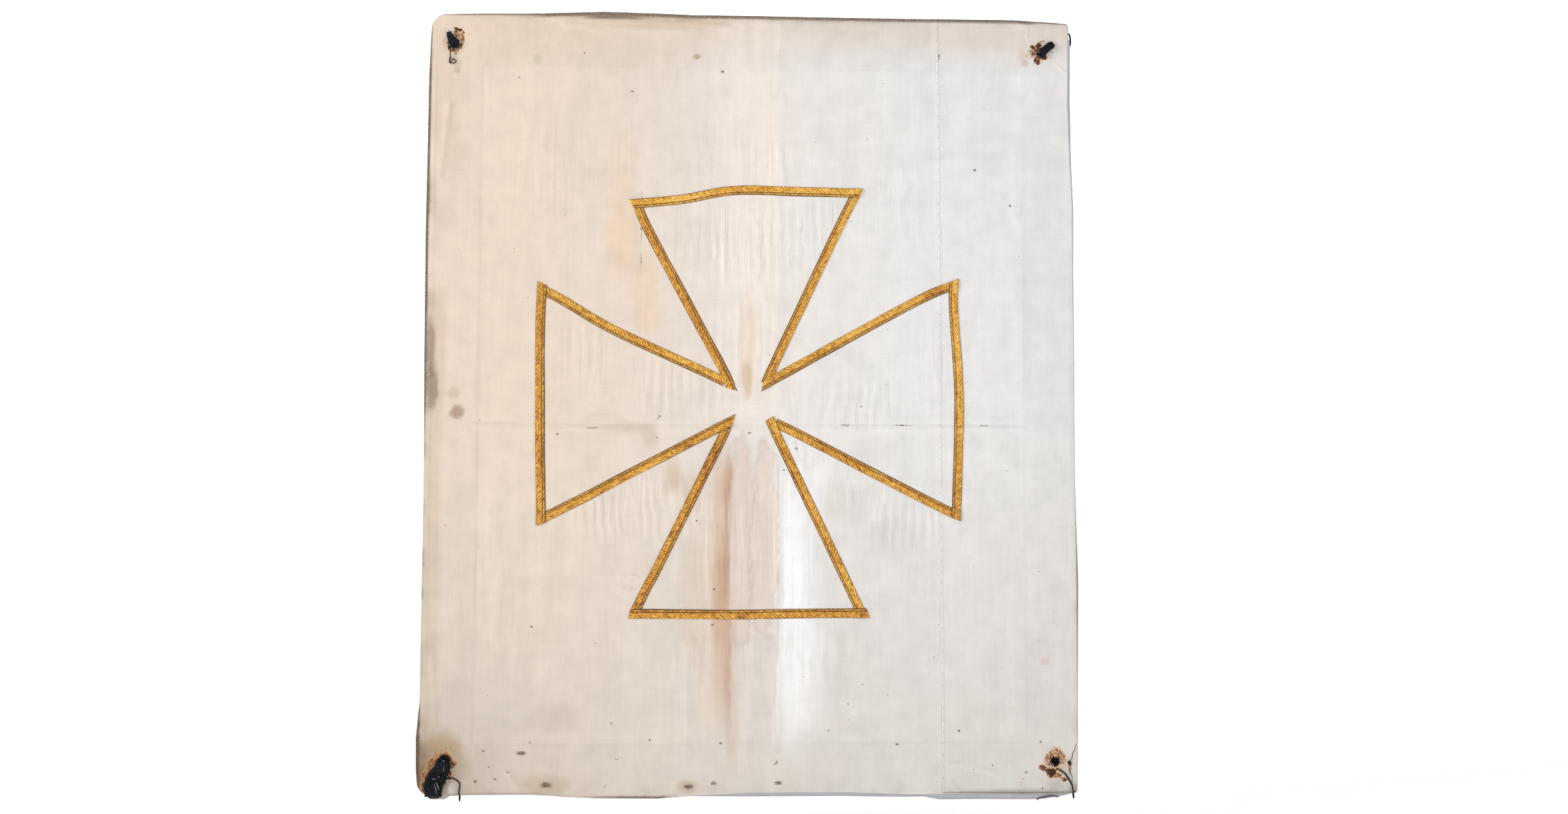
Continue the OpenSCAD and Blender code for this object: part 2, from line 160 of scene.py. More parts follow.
# How far each edge bulges outwards
LEFT_EDGE = [(30, 0), (-30, 2), (-180, 2.5), (-300, 1.5), (-420, 0), (-640, 0), (-675, 3), (-705, 2.5), (-732, 0)]
RIGHT_EDGE = [(30, -2.5), (-50, -4), (-100, -2.5), (-160, 0.3), (-250, 0.5), (-430, 0), (-530, 1), (-680, 0),
              (-732, -1)]
TOP_EDGE = [(-317, 0), (-270, 1.2), (-210, 2), (-150, 5), (-100, 4.5), (-60, 3), (0, 3.3), (150, 3), (260, 3),
            (317, 0)]
BOTTOM_EDGE = [(-317, -1), (-270, -2.5), (-210, -2.5), (-150, 0.5), (-90, 1.2), (-60, -1), (0, -4), (90, -4),
               (150, -1.5), (210, -1.5), (270, -0.8), (317, -1.5)]
EDGE_REACH = 18.0


def seam_line(z):
    return 180.5 + (TOP - z) * 4 / 762 + 0.8 * noise(z, 0 * z, 170, 5)


def placed(x, z):
    """Where a point of the squared-up cloth really lies: round corners, uneven edges, slanting seam"""
    x, z = np.array(x, float), np.array(z, float)
    for sx, sz, r in ((-1, -1, LEFT_R), (-1, 1, LEFT_R), (1, -1, RIGHT_R), (1, 1, RIGHT_R)):
        cx, cz = sx * (HALF_W - r), (TOP - r if sz > 0 else BOTTOM + r)
        vx, vz = (x - cx) * sx, (z - cz) * sz
        far = np.hypot(vx, vz)
        k = np.where((vx > 0) & (vz > 0), np.maximum(vx, vz) / np.maximum(far, 1e-9), 1)
        x, z = cx + (x - cx) * k, cz + (z - cz) * k
    dx = (profile(z, RIGHT_EDGE) * ease(1 - (HALF_W - x) / EDGE_REACH)
          - profile(z, LEFT_EDGE) * ease(1 - (HALF_W + x) / EDGE_REACH)
          + (seam_line(z) - SEAM_X) * ease(1 - abs(x - SEAM_X) / 60))
    dz = (profile(x, TOP_EDGE) * ease(1 - (TOP - z) / EDGE_REACH)
          - profile(x, BOTTOM_EDGE) * ease(1 - (z - BOTTOM) / EDGE_REACH))
    return x + dx, z + dz


def off_eyelets(x, z, near, far):
    """0 nearer an eyelet than near, 1 further than far"""
    d = np.min([np.hypot(x - e[0], z - e[1]) for e in EYELETS], axis=0)
    return ease((d - near) / (far - near))


def to_line(x, z, points):
    """Distance from a line through points"""
    best = np.full(np.shape(x), 1e9)
    for a, b in zip(points[:-1], points[1:]):
        dx, dz = b[0] - a[0], b[1] - a[1]
        t = np.clip(((x - a[0]) * dx + (z - a[1]) * dz) / (dx * dx + dz * dz), 0, 1)
        best = np.minimum(best, np.hypot(x - a[0] - t * dx, z - a[1] - t * dz))
    return best


def swell(x, z):
    """How far every layer of the cloth stands forward of flat"""
    s = 2.0 * noise(x, z, 210, 11) + 0.9 * noise(x, z, 95, 12)
    s = s + 0.5 * noise(x, z * 0.3, 60, 13) * ease(1.3 - np.hypot(x, z + 350) / 320)
    return s * off_eyelets(x, z, 26, 85)


# Lines of the cross: centre line, the slant of the two ends, and the lengths that it lies over.
# The outer edge is on the left of each line.
CROSS = (-3.5, -351.0)
LACES = {
    "top_left_leg": ([(-17.5, 11.5), (-28.5, 35.5), (-98, 165), (-112, 196)], (0.8, 0), ["left_upper_leg"]),
    "top_bar": ([(-116.5, 193.5), (-66, 199), (-15.5, 208), (48, 207.5), (110, 206.5)], (-0.6, 0.45),
                ["top_left_leg", "top_right_leg"]),
    "top_right_leg": ([(106, 208), (82.5, 160.5), (25.5, 38.5), (16, 17)], (0, 0), []),
    "right_upper_leg": ([(13.5, 16), (50, 36.5), (126, 79), (177, 106), (203, 116.5)], (1, 0), ["top_right_leg"]),
    "right_bar": ([(202, 120.5), (201.5, 92), (206, 16), (205.5, -47), (203, -114.5)], (-0.45, 0.5),
                  ["right_upper_leg", "right_lower_leg"]),
    "right_lower_leg": ([(204.5, -111.5), (185, -102), (136, -77.5), (53, -34.5), (26, -21.5)], (0, 0), []),
    "bottom_right_leg": ([(20, -17), (27, -33), (33.5, -46.5), (99.5, -184), (110, -207)], (-0.1, 0),
                         ["right_lower_leg"]),
    "bottom_bar": ([(116.5, -206.2), (48, -206.2), (-14, -207.5), (-114.5, -206.7)], (-0.4, 0.4),
                   ["bottom_right_leg", "bottom_left_leg"]),
    "bottom_left_leg": ([(-111, -207.5), (-98, -180.5), (-87, -160), (-32, -48), (-21.5, -25)], (0, 0), []),
    "left_lower_leg": ([(-15, -18.5), (-44, -33.5), (-138, -83.5), (-175, -102.5), (-202, -116.5)], (1, 0),
                       ["bottom_left_leg"]),
    "left_bar": ([(-200.8, -120.5), (-203.5, -12), (-204, 76), (-202.5, 114)], (-0.3, 0.4),
                 ["left_lower_leg", "left_upper_leg"]),
    "left_upper_leg": ([(-204, 109), (-181, 97), (-143, 74.5), (-105, 56), (-48, 30.5), (-24, 19)], (0, 0), []),
}
LACE_LINES = {n: [(CROSS[0] + x, CROSS[1] + z) for x, z in v[0]] for n, v in LACES.items()}

# Fields of small puckers: middle, reach across and up, lean of the ridges, pitch and height
PUCKERS = [
    (-5, -188, 100, 62, 0, 13, 1.5), (62, -180, 62, 45, 4, 10, 1.1), (-10, -118, 115, 36, 0, 15, 0.9),
    (-70, -338, 75, 48, 0, 12, 1.1), (95, -352, 95, 36, -3, 13, 1.1), (150, -462, 62, 44, -6, 11, 1.3),
    (-105, -455, 92, 46, 5, 12, 1.8), (-2, -505, 88, 92, 0, 14, 1.8), (-118, -526, 26, 22, 82, 9, 1.3),
    (120, -542, 20, 22, 75, 12, 0.8), (60, -420, 60, 60, -4, 12, 1.4), (20, -600, 150, 42, 0, 16, 1.1),
    (110, -430, 60, 30, -8, 12, 1.5), (-160, -300, 45, 45, 0, 12, 0.8), (175, -320, 34, 70, 0, 10, 0.8),
    (0, -290, 60, 60, 0, 11, 0.9), (-250, -560, 60, 90, 0, 24, 0.7), (240, -560, 60, 90, 0, 24, 0.7),
    (150, -150, 60, 60, 0, 22, 0.6), (-190, -120, 70, 60, 0, 24, 0.6)]
# Single ridges and folds: the line, half its width and its height
FOLDS = [
    ([(-198, 27), (-173, 29.5), (-135, 26), (-84, 24), (-26, 21.5)], 2.2, 1.6),
    ([(-185, 21), (-120, 18), (-60, 18)], 3.5, 1.0), ([(-20, 25), (60, 26), (120, 24)], 2.5, 0.8),
    ([(265, 29.5), (272.5, 25.5), (274.5, 22.5), (273, 18), (275.5, 10.5)], 1.5, 1.3),
    ([(263, 27), (277, 27), (288, 29)], 1.5, 0.8), ([(300, -9.5), (304, -14), (311, -19)], 1.4, 1.1),
    ([(-232.5, -707.5), (-222, -725.5)], 2.0, 1.2), ([(189.5, -700.5), (234.5, -709.5)], 2.2, 1.0),
    ([(195, -718), (200, -727)], 1.6, 0.9), ([(238.5, -682.5), (252.5, -677), (262.5, -675)], 1.3, 1.0),
    ([(27, 22), (26, -200), (27, -355)], 4.5, 0.7), ([(-32, 22), (-31, -340)], 5, 0.6),
    ([(24, -405), (25, -520), (24, -690)], 3.2, 1.7), ([(-24, -405), (-28, -470), (-25, -560), (-27, -690)], 5, 1.7),
    ([(-60, -585), (-62, -700)], 5, 0.8), ([(80, -585), (84, -700)], 6, 0.8), ([(0, -585), (-4, -690)], 4, 0.7),
    ([(46, -420), (48, -610)], 8, 1.4), ([(-250, -380), (-252, -520)], 8, 0.8), ([(262, -100), (266, -330)], 6, 0.8),
    ([(-267, -377), (-100, -379.5), (30, -378.5), (267, -376.5)], 2.6, 0.8),
    ([(-267, -369), (-100, -371), (30, -370), (267, -368.5)], 4.0, 0.6),
    ([(-300, -60), (-306, -130)], 3.5, 0.9), ([(-306, -600), (-300, -660)], 4, 0.9)]
# Single lumps: middle, half sizes and height
LUMPS = [(-284.5, -723.5, 4.2, 5.5, 2.4), (303, -712, 3, 6, 0.8), (-118, -522, 9, 4, 1.2), (-121, -534, 9, 4, 1.2)]


def ripple(x, z):
    """How far the silk alone stands off the canvas, in puckers and folds"""
    f = np.zeros(np.shape(x))
    for k, (cx, cz, rx, rz, lean, pitch, height) in enumerate(PUCKERS):
        a = math.radians(lean)
        across, along = x * math.cos(a) + z * math.sin(a), z * math.cos(a) - x * math.sin(a)
        bend = 5 * noise(across, along * 0.4, 45, 40 + k) + 2 * noise(across, along, 14, 60 + k)
        wave = 0.5 + 0.5 * np.sin(2 * math.pi * (across + bend) / (0.8 * pitch))
        strength = ease(0.55 + 0.9 * noise(across * 1.6, along * 0.35, 30, 80 + k))
        f = f + 0.62 * height * wave**1.4 * strength * ease((1 - np.hypot((x - cx) / rx, (z - cz) / rz)) / 0.65)
    for k, (line, half, height) in enumerate(FOLDS):
        wander = 2 * noise(x * 0.3, z, 40, 110 + k)
        d = to_line(x + wander * 0.6, z, line)
        f = f + height * np.exp(-(d / half) ** 2) * (0.75 + 0.25 * noise(x, z, 25, 140 + k))
    d = np.min([to_line(x, z, line) for line in LACE_LINES.values()], axis=0)
    f = f * (1 - 0.6 * ease(1.35 - d / 8))
    for cx, cz, rx, rz, height in LUMPS:
        f = f + height * np.exp(-(((x - cx) / rx) ** 2) - ((z - cz) / rz) ** 2)
    across = x - seam_line(z)
    f = f + 0.65 * np.exp(-(((across - 1.3) / 1.2) ** 2)) + 0.2 * np.exp(-(((across + 1.6) / 1.2) ** 2))
    f = f + 0.12 * (1 + noise(x, z, 16, 21)) + 0.1 * noise(x * 0.7, z * 0.25, 9, 22)
    inside = np.min([x + HALF_W, HALF_W - x, TOP - z, z - BOTTOM], axis=0)
    f = f + 0.16 * ease((52 - inside) / 3) + 0.22 * np.exp(-(((inside - 4.5) / 1.8) ** 2))
    return np.maximum(f, 0) * off_eyelets(x, z, 9, 34)


def crease(x, z):
    """Depth of the sharp crease across the middle"""
    line = CREASE_Z + 1.2 * noise(x, 0 * x, 60, 31)
    return 0.3 * np.exp(-abs(z - line) / 1.1) * ease((290 - abs(x)) / 40)


# ---------------------------------------------------------------- meshes

def finish_mesh(name, verts, faces, material, body="banner", slot=None, replaces=()):
    mesh = bpy.data.meshes.new(name)
    mesh.from_pydata((np.asarray(verts, float) * MM).tolist(), [], [list(map(int, f)) for f in faces])
    mesh.validate()
    mesh.materials.append(material)
    mesh.polygons.foreach_set("use_smooth", [True] * len(mesh.polygons))
    obj = put(bpy.data.objects.new(name, mesh))
    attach(obj, body)
    if replaces:
        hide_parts(*replaces)
    return obj


def give(obj, name, values):
    """Stores one number, or one colour, at each vertex"""
    values = np.asarray(values, np.float32)
    if values.ndim == 1:
        obj.data.attributes.new(name, "FLOAT", "POINT").data.foreach_set("value", values)
    else:
        rgba = np.ones((len(values), 4), np.float32)
        rgba[:, :3] = values
        obj.data.attributes.new(name, "FLOAT_COLOR", "POINT").data.foreach_set("color", rgba.ravel())


def stops(low, high, step, fine_step, fine):
    """Grid lines from low to high, closer together inside the fine bands"""
    out = [low]
    while out[-1] < high - 1e-6:
        at = out[-1]
        s = fine_step if any(a - step < at < b for a, b in fine) else step
        out.append(min(at + s, high))
    if out[-1] - out[-2] < 0.4 * (out[-2] - out[-3]):
        del out[-2]
    return np.array(out)


def grid(xs, zs, hole_r):
    """A flat net with round holes at the eyelets: its points, its faces, and which points ring a hole"""
    gx, gz = np.meshgrid(xs, zs)
    x, z = gx.ravel().copy(), gz.ravel().copy()
    n = len(xs)
    i, j = np.meshgrid(np.arange(n - 1), np.arange(len(zs) - 1))
    a = (j * n + i).ravel()
    faces = np.stack([a, a + 1, a + n + 1, a + n], axis=1)
    keep = np.ones(len(faces), bool)
    ring = np.full(len(x), -1)
    for k, (ex, ez) in enumerate(EYELETS):
        mid = np.hypot(x[faces].mean(1) - ex, z[faces].mean(1) - ez)
        gone = mid < hole_r
        if not gone.any():
            continue
        keep &= ~gone
        edge = np.intersect1d(faces[gone].ravel(), faces[~gone].ravel())
        turn = np.arctan2(z[edge] - ez, x[edge] - ex)
        x[edge], z[edge] = ex + hole_r * np.cos(turn), ez + hole_r * np.sin(turn)
        ring[edge] = k
    faces = faces[keep]
    used = np.unique(faces)
    renumber = np.full(len(x), -1)
    renumber[used] = np.arange(len(used))
    return x[used], z[used], renumber[faces], ring[used]


def border_edges(faces):
    """Edges that only one face has, in that face's order"""
    seen = {}
    for f in faces:
        for a, b in zip(f, np.roll(f, -1)):
            seen[(int(a), int(b))] = True
    return [(a, b) for a, b in seen if (b, a) not in seen]


def slab(name, xs, zs, front, back, hole_r, material, slot, replaces, place=placed):
    """A closed, thin layer between two depths that follows the swell of the cloth"""
    x, z, faces, _ = grid(xs, zs, hole_r)
    x, z = place(x, z)
    s = swell(x, z)
    n = len(x)
    verts = np.vstack([np.stack([x, front - s, z], 1), np.stack([x, back - s, z], 1)])
    sides = [(b, a, a + n, b + n) for a, b in border_edges(faces)]
    return finish_mesh(name, verts, list(faces) + list(faces[:, ::-1] + n) + sides, material,
                       slot=slot, replaces=replaces)


class Pile:
    """Gathers tubes and tapes into one mesh"""

    def __init__(self):
        self.verts, self.faces = [], []

    def rings(self, rings):
        """Skins rings of points and closes both ends"""
        start, n = sum(len(v) for v in self.verts), len(rings[0])
        for r in rings:
            self.verts.append(np.asarray(r, float))
        for k in range(len(rings) - 1):
            a = start + k * n
            self.faces += [(a + i, a + (i + 1) % n, a + n + (i + 1) % n, a + n + i) for i in range(n)]
        self.faces.append(tuple(range(start + n - 1, start - 1, -1)))
        last = start + (len(rings) - 1) * n
        self.faces.append(tuple(range(last, last + n)))

    def tube(self, points, r, sides=8, step=1.0, taper=0.0):
        p = curved(points, step)
        t = np.gradient(p, axis=0)
        t /= np.linalg.norm(t, axis=1)[:, None]
        side = np.cross(t[0], (0.3, 1, 0.2))
        out = []
        for k in range(len(p)):
            side = side - t[k] * side.dot(t[k])
            side /= np.linalg.norm(side)
            up = np.cross(t[k], side)
            end = min(k, len(p) - 1 - k) / max(1, len(p) - 1)
            size = r * (1 - taper + taper * min(1, 4 * end))
            out.append([p[k] + size * (math.cos(a) * side + math.sin(a) * up)
                        for a in np.arange(sides) * 2 * math.pi / sides])
        self.rings(out)

    def tape(self, points, across, width, thick, seed, rib=1.0, step=0.8, tip=0.0, fray=0.0, widths=(1, 1)):
        """A ribbed tape: across is the way that its width lies, tip rounds its ends and widths scale it on the way"""
        p = curved(points, step)
        t = np.gradient(p, axis=0)
        t /= np.linalg.norm(t, axis=1)[:, None]
        across = curved(across, 1e9) if len(across) > 2 else np.array(across, float)
        ats = np.linspace(0, 1, len(across))
        u = np.concatenate([np.linspace(-1, 1, 15), np.linspace(1, -1, 15)])
        face = np.repeat([1, -1], 15)
        out = []
        for k in range(len(p)):
            f = k / (len(p) - 1)
            w = np.array([np.interp(f, ats, across[:, i]) for i in range(3)])
            w = w - t[k] * w.dot(t[k])
            w /= np.linalg.norm(w)
            normal = np.cross(t[k], w)
            near = min(f, 1 - f) * (len(p) - 1) * step
            wide = width / 2 * (math.sqrt(max(0.05, 1 - (1 - min(1, near / tip)) ** 2)) if tip else 1)
            wide *= 1 + fray * float(noise(k * step, seed, 2.2, seed))
            wide *= np.interp(f, np.linspace(0, 1, len(widths)), widths)
            high = thick / 2 * np.sqrt(np.clip(1 - np.abs(u) ** 6, 0.02, 1))
            high = high + 0.13 * rib * np.cos(u * width / 2 * 2 * math.pi / 1.15) * (1 - np.abs(u) ** 4)
            high = high + 0.07 * noise(u * 4 + 9 * face, k * step + 0 * u, 0.9, seed + 7)
            out.append(p[k] + np.outer(u * wide, w) + np.outer(high * face, normal))
        self.rings(out)

    def spindle(self, a, b, r):
        """A short stitch from a to b"""
        a, b = np.array(a, float), np.array(b, float)
        t = (b - a) / np.linalg.norm(b - a)
        side = np.cross(t, (0, 1, 0))
        side /= np.linalg.norm(side)
        up = np.cross(t, side)
        self.rings([[a + (b - a) * f + r * k * (math.cos(q) * side + 0.7 * math.sin(q) * up)
                     for q in np.arange(6) * math.pi / 3]
                    for f, k in ((0, 0.35), (0.12, 0.85), (0.5, 1), (0.88, 0.85), (1, 0.35))])

    def mesh(self, name, material, **more):
        return finish_mesh(name, np.vstack(self.verts), self.faces, material, **more)


# ---------------------------------------------------------------- materials

def linear(colour):
    c = np.asarray(colour, float) / 255
    return np.where(c < 0.04045, c / 12.92, ((c + 0.055) / 1.055) ** 2.4)


def wave_scale(pitch):
    """Scale of a wave texture whose bands lie pitch apart"""
    return math.pi / 10 / pitch


class Shader:
    """A short way to write a node material"""

    def __init__(self, name):
        self.material = bpy.data.materials.new(name)
        self.material.use_nodes = True
        self.tree = self.material.node_tree
        self.tree.nodes.clear()
        self.bsdf = self.node("BsdfPrincipled")
        out = self.node("OutputMaterial")
        self.tree.links.new(self.bsdf.outputs[0], out.inputs[0])
        self.where = self.node("TexCoord").outputs["Object"]

    def node(self, kind, inputs=None, **settings):
        n = self.tree.nodes.new("ShaderNode" + kind)
        for k, v in settings.items():
            setattr(n, k, v)
        for k, v in (inputs or {}).items():
            self.set(n.inputs[k], v)
        return n

    def set(self, socket, value):
        if isinstance(value, bpy.types.NodeSocket):
            self.tree.links.new(value, socket)
        else:
            socket.default_value = value

    def sum(self, operation, a, b=0.0, clamp=False):
        return self.node("Math", {0: a, 1: b}, operation=operation, use_clamp=clamp).outputs[0]

    def scaled(self, scale, turn=0.0, source=None):
        """Position in millimetres, times a scale along each axis"""
        return self.node("Mapping", {"Vector": source or self.where, "Rotation": (0, turn, 0),
                                     "Scale": tuple(1000 * s for s in scale)}).outputs[0]

    def grain(self, scale, detail=2.0, rough=0.5, source=None, turn=0.0):
        return self.node("TexNoise", {"Vector": self.scaled(scale, turn, source), "Scale": 1.0, "Detail": detail,
                                      "Roughness": rough}).outputs["Fac"]

    def range(self, value, low, high, to_low=0.0, to_high=1.0, smooth=True):
        return self.node("MapRange", {"Value": value, "From Min": low, "From Max": high, "To Min": to_low,
                                      "To Max": to_high},
                         interpolation_type="SMOOTHSTEP" if smooth else "LINEAR").outputs["Result"]

    def mix(self, factor, a, b, blend="MIX"):
        n = self.node("Mix", data_type="RGBA", blend_type=blend)
        self.set(n.inputs["Factor"], factor)
        for socket, value in ((n.inputs[6], a), (n.inputs[7], b)):
            self.set(socket, value if isinstance(value, bpy.types.NodeSocket) else (*value, 1))
        return n.outputs[2]

    def ramp(self, value, colours):
        n = self.node("ValToRGB", {"Fac": value})
        e = n.color_ramp.elements
        for k, (at, c) in enumerate(colours):
            item = e[k] if k < 2 else e.new(at)
            item.position = at
            item.color = (*linear(c), 1)
        return n.outputs["Color"]

    def read(self, name):
        return self.node("Attribute", attribute_name=name, attribute_type="GEOMETRY")

    def bump(self, height, distance, strength):
        return self.node("Bump", {"Height": height, "Distance": distance, "Strength": strength}).outputs[0]

    def finish(self, **inputs):
        for k, v in inputs.items():
            self.set(self.bsdf.inputs[k.replace("_", " ")], v)
        return self.material


# Larger marks: dark dashes along the crease, a scratch, and spots by the bottom edge. Middle and half sizes
MARKS = [(147, CREASE_Z, 12, 0.5), (228, CREASE_Z, 5, 0.5), (-156, CREASE_Z - 4, 6, 0.5), (90, CREASE_Z, 7, 0.4),
         (-110, -152, 0.35, 9), (-110, -184, 0.35, 13), (-110, -214, 0.3, 9), (184, -6, 0.8, 4),
         (-60, -722, 5, 2.4), (-36, -719, 3, 1.8), (26, -719, 4, 1.8), (-196, -720, 6, 3), (-220, -690, 5, 2.2)]


def specks():
    """Small specks strewn over the silk, half of them in the bottom margin"""
    draw = np.random.default_rng(610)
    return [(draw.uniform(-306, 306), draw.uniform(-722, -660) if n % 2 else draw.uniform(-660, 26),
             draw.uniform(0.8, 1.8), draw.uniform(0.7, 1.3)) for n in range(44)]


def silk_material():
    m = Shader("old_ivory_silk")
    tint = m.read("tint").outputs["Color"]
    dirt_and_edge_shade, rust = m.read("dirt_and_edge_shade").outputs["Fac"], m.read("rust").outputs["Fac"]
    gather = m.read("gather").outputs["Fac"]
    pleat = m.range(m.grain((0.19, 1, 0.01), 2, 0.5), 0.38, 0.68)
    weft = m.grain((0.03, 1, 0.75), 3, 0.6)
    ribs = m.grain((0.02, 1, 2.2), 2, 0.5)
    warp = m.grain((0.42, 1, 0.012), 3, 0.6)
    cloud = m.grain((0.05, 1, 0.05), 4, 0.6)
    fine = m.grain((0.9, 1, 0.9), 4, 0.65)
    light = m.sum("ADD", m.range(weft, 0.3, 0.7, -0.016, 0.016, False),
                  m.range(warp, 0.25, 0.75, -0.022, 0.022, False))
    light = m.sum("ADD", light, m.range(cloud, 0.3, 0.7, 0.935, 1.035, False))
    light = m.sum("ADD", light, m.range(m.grain((0.045, 1, 0.003), 3, 0.6), 0.3, 0.7, -0.028, 0.028, False))
    bright = m.node("CombineColor", {0: light, 1: light, 2: light}).outputs[0]
    colour = m.mix(1.0, tint, bright, "MULTIPLY")
    # Dirt, with the painted contact shadow along the very edges.
    grime_and_edge_shade = m.sum("MULTIPLY", dirt_and_edge_shade, m.range(fine, 0.3, 0.7, 0.72, 1.28, False))
    colour = m.mix(m.range(grime_and_edge_shade, 0.0, 1.0), colour, tuple(linear((92, 70, 48))))
    # specks: the smallest scaled distance to any of them
    drift = m.node("VectorMath", {0: m.node("TexNoise", {"Vector": m.scaled((0.7, 1, 0.7)), "Scale": 1.0})
                                  .outputs["Color"], 1: (0.5, 0.5, 0.5)}, operation="SUBTRACT").outputs[0]
    wobbly = m.node("VectorMath", {0: drift, 1: (0.0042, 0, 0.0042), 2: m.where}, operation="MULTIPLY_ADD").outputs[0]
    nearest = None
    for x, z, a, b in MARKS + specks():
        scale = (1000 / a, 0.0, 1000 / b)
        away = m.node("VectorMath", {0: wobbly, 1: scale, 2: (-x / a, 0.0, -z / b)}, operation="MULTIPLY_ADD")
        d = m.node("VectorMath", {0: away.outputs[0]}, operation="LENGTH").outputs["Value"]
        nearest = d if nearest is None else m.sum("MINIMUM", nearest, d)
    spot = m.range(nearest, 0.4, 1.3, 0.85, 0.0)
    colour = m.mix(spot, colour, tuple(linear((92, 70, 48))))
    small = m.node("TexVoronoi", {"Vector": m.scaled((0.06, 0, 0.06)), "Scale": 1.0, "Randomness": 1.0})
    pick = m.range(m.node("SeparateColor", {0: small.outputs["Color"]}).outputs[0], 0.6, 0.62)
    dust = m.sum("MULTIPLY", m.range(small.outputs["Distance"], 0.02, 0.06, 0.6, 0.0), pick)
    colour = m.mix(dust, colour, tuple(linear((120, 96, 70))))
    # rust that has bled through round the eyelets
    eaten = m.sum("ADD", rust, m.range(m.grain((0.4, 1, 0.4), 6, 0.74), 0.3, 0.7, -0.36, 0.32, False))
    eaten = m.sum("MULTIPLY", eaten, m.range(rust, 0.0, 0.42))
    shade = m.ramp(eaten, [(0.0, (206, 186, 160)), (0.26, (196, 160, 116)), (0.44, (170, 112, 62)),
                           (0.58, (112, 68, 40)), (0.72, (58, 36, 26)), (0.9, (20, 15, 14))])
    colour = m.mix(m.range(eaten, 0.02, 0.6), colour, shade)
    weave = m.node("TexWave", {"Vector": m.scaled((0.0, 0, 1.0)), "Scale": 0.5, "Distortion": 0.8,
                               "Detail": 2.0, "Detail Scale": 1.5},
                   wave_type="BANDS", bands_direction="Z").outputs["Fac"]
    height = m.sum("ADD", m.sum("MULTIPLY", ribs, 0.9), m.sum("MULTIPLY", weave, 0.22))
    height = m.sum("ADD", height, m.sum("MULTIPLY", warp, 0.8))
    height = m.sum("ADD", height, m.sum("MULTIPLY", m.sum("MULTIPLY", pleat, gather), 5.0))
    rough = m.sum("ADD", m.range(fine, 0.2, 0.8, 0.5, 0.62, False), m.sum("MULTIPLY", eaten, 0.3), True)
    return m.finish(Base_Color=colour, Roughness=rough, Normal=m.bump(height, 0.0002, 0.4),
                    Specular_IOR_Level=0.35, Sheen_Weight=0.12, Sheen_Roughness=0.4)


def woven_material(name, colour, dark, pitch, rough=0.8, strength=0.5, sheen=0.1):
    """A plain woven cloth with threads pitch apart"""
    m = Shader(name)
    over = m.node("TexWave", {"Vector": m.scaled((1, 0, 0)), "Scale": wave_scale(pitch),
                              "Distortion": 0.6, "Detail": 1.0}, bands_direction="X").outputs["Fac"]
    under = m.node("TexWave", {"Vector": m.scaled((0, 0, 1)), "Scale": wave_scale(pitch),
                               "Distortion": 0.6, "Detail": 1.0}, bands_direction="Z").outputs["Fac"]
    weave = m.sum("MULTIPLY", over, under)
    cloud = m.grain((0.03, 1, 0.03), 5, 0.6)
    streak = m.grain((0.5, 1, 0.02), 3, 0.6)
    fac = m.sum("ADD", m.range(cloud, 0.3, 0.75, 0.0, 0.5, False), m.range(streak, 0.3, 0.75, 0.0, 0.3, False))
    fac = m.sum("ADD", fac, m.sum("MULTIPLY", weave, -0.15), True)
    base = m.mix(fac, tuple(linear(colour)), tuple(linear(dark)))
    return m, base, m.bump(m.sum("ADD", weave, streak), 0.0002, strength), rough, sheen


def plain_cloth(*args, **more):
    m, base, normal, rough, sheen = woven_material(*args, **more)
    return m.finish(Base_Color=base, Normal=normal, Roughness=rough, Sheen_Weight=sheen)


def lining_material():
    m, base, normal, rough, sheen = woven_material("faded_lining", (196, 202, 212), (168, 170, 178), 0.5, 0.7)
    rust = m.read("rust").outputs["Fac"]
    dirt_and_edge_shade = m.read("dirt_and_edge_shade").outputs["Fac"]
    eaten = m.sum("ADD", rust, m.range(m.grain((0.5, 1, 0.5), 5, 0.7), 0.25, 0.75, -0.2, 0.2, False))
    eaten = m.sum("MULTIPLY", eaten, m.range(rust, 0.03, 0.2))
    shade = m.ramp(eaten, [(0.0, (206, 188, 168)), (0.35, (190, 140, 92)), (0.6, (130, 72, 34)), (1.0, (40, 24, 18))])
    # Dirt from the edges, with their painted contact shadow line.
    base = m.mix(m.range(dirt_and_edge_shade, 0, 1), base, tuple(linear((140, 122, 106))))
    base = m.mix(m.range(eaten, 0.02, 0.4), base, shade)
    return m.finish(Base_Color=base, Normal=normal, Roughness=rough, Sheen_Weight=sheen)


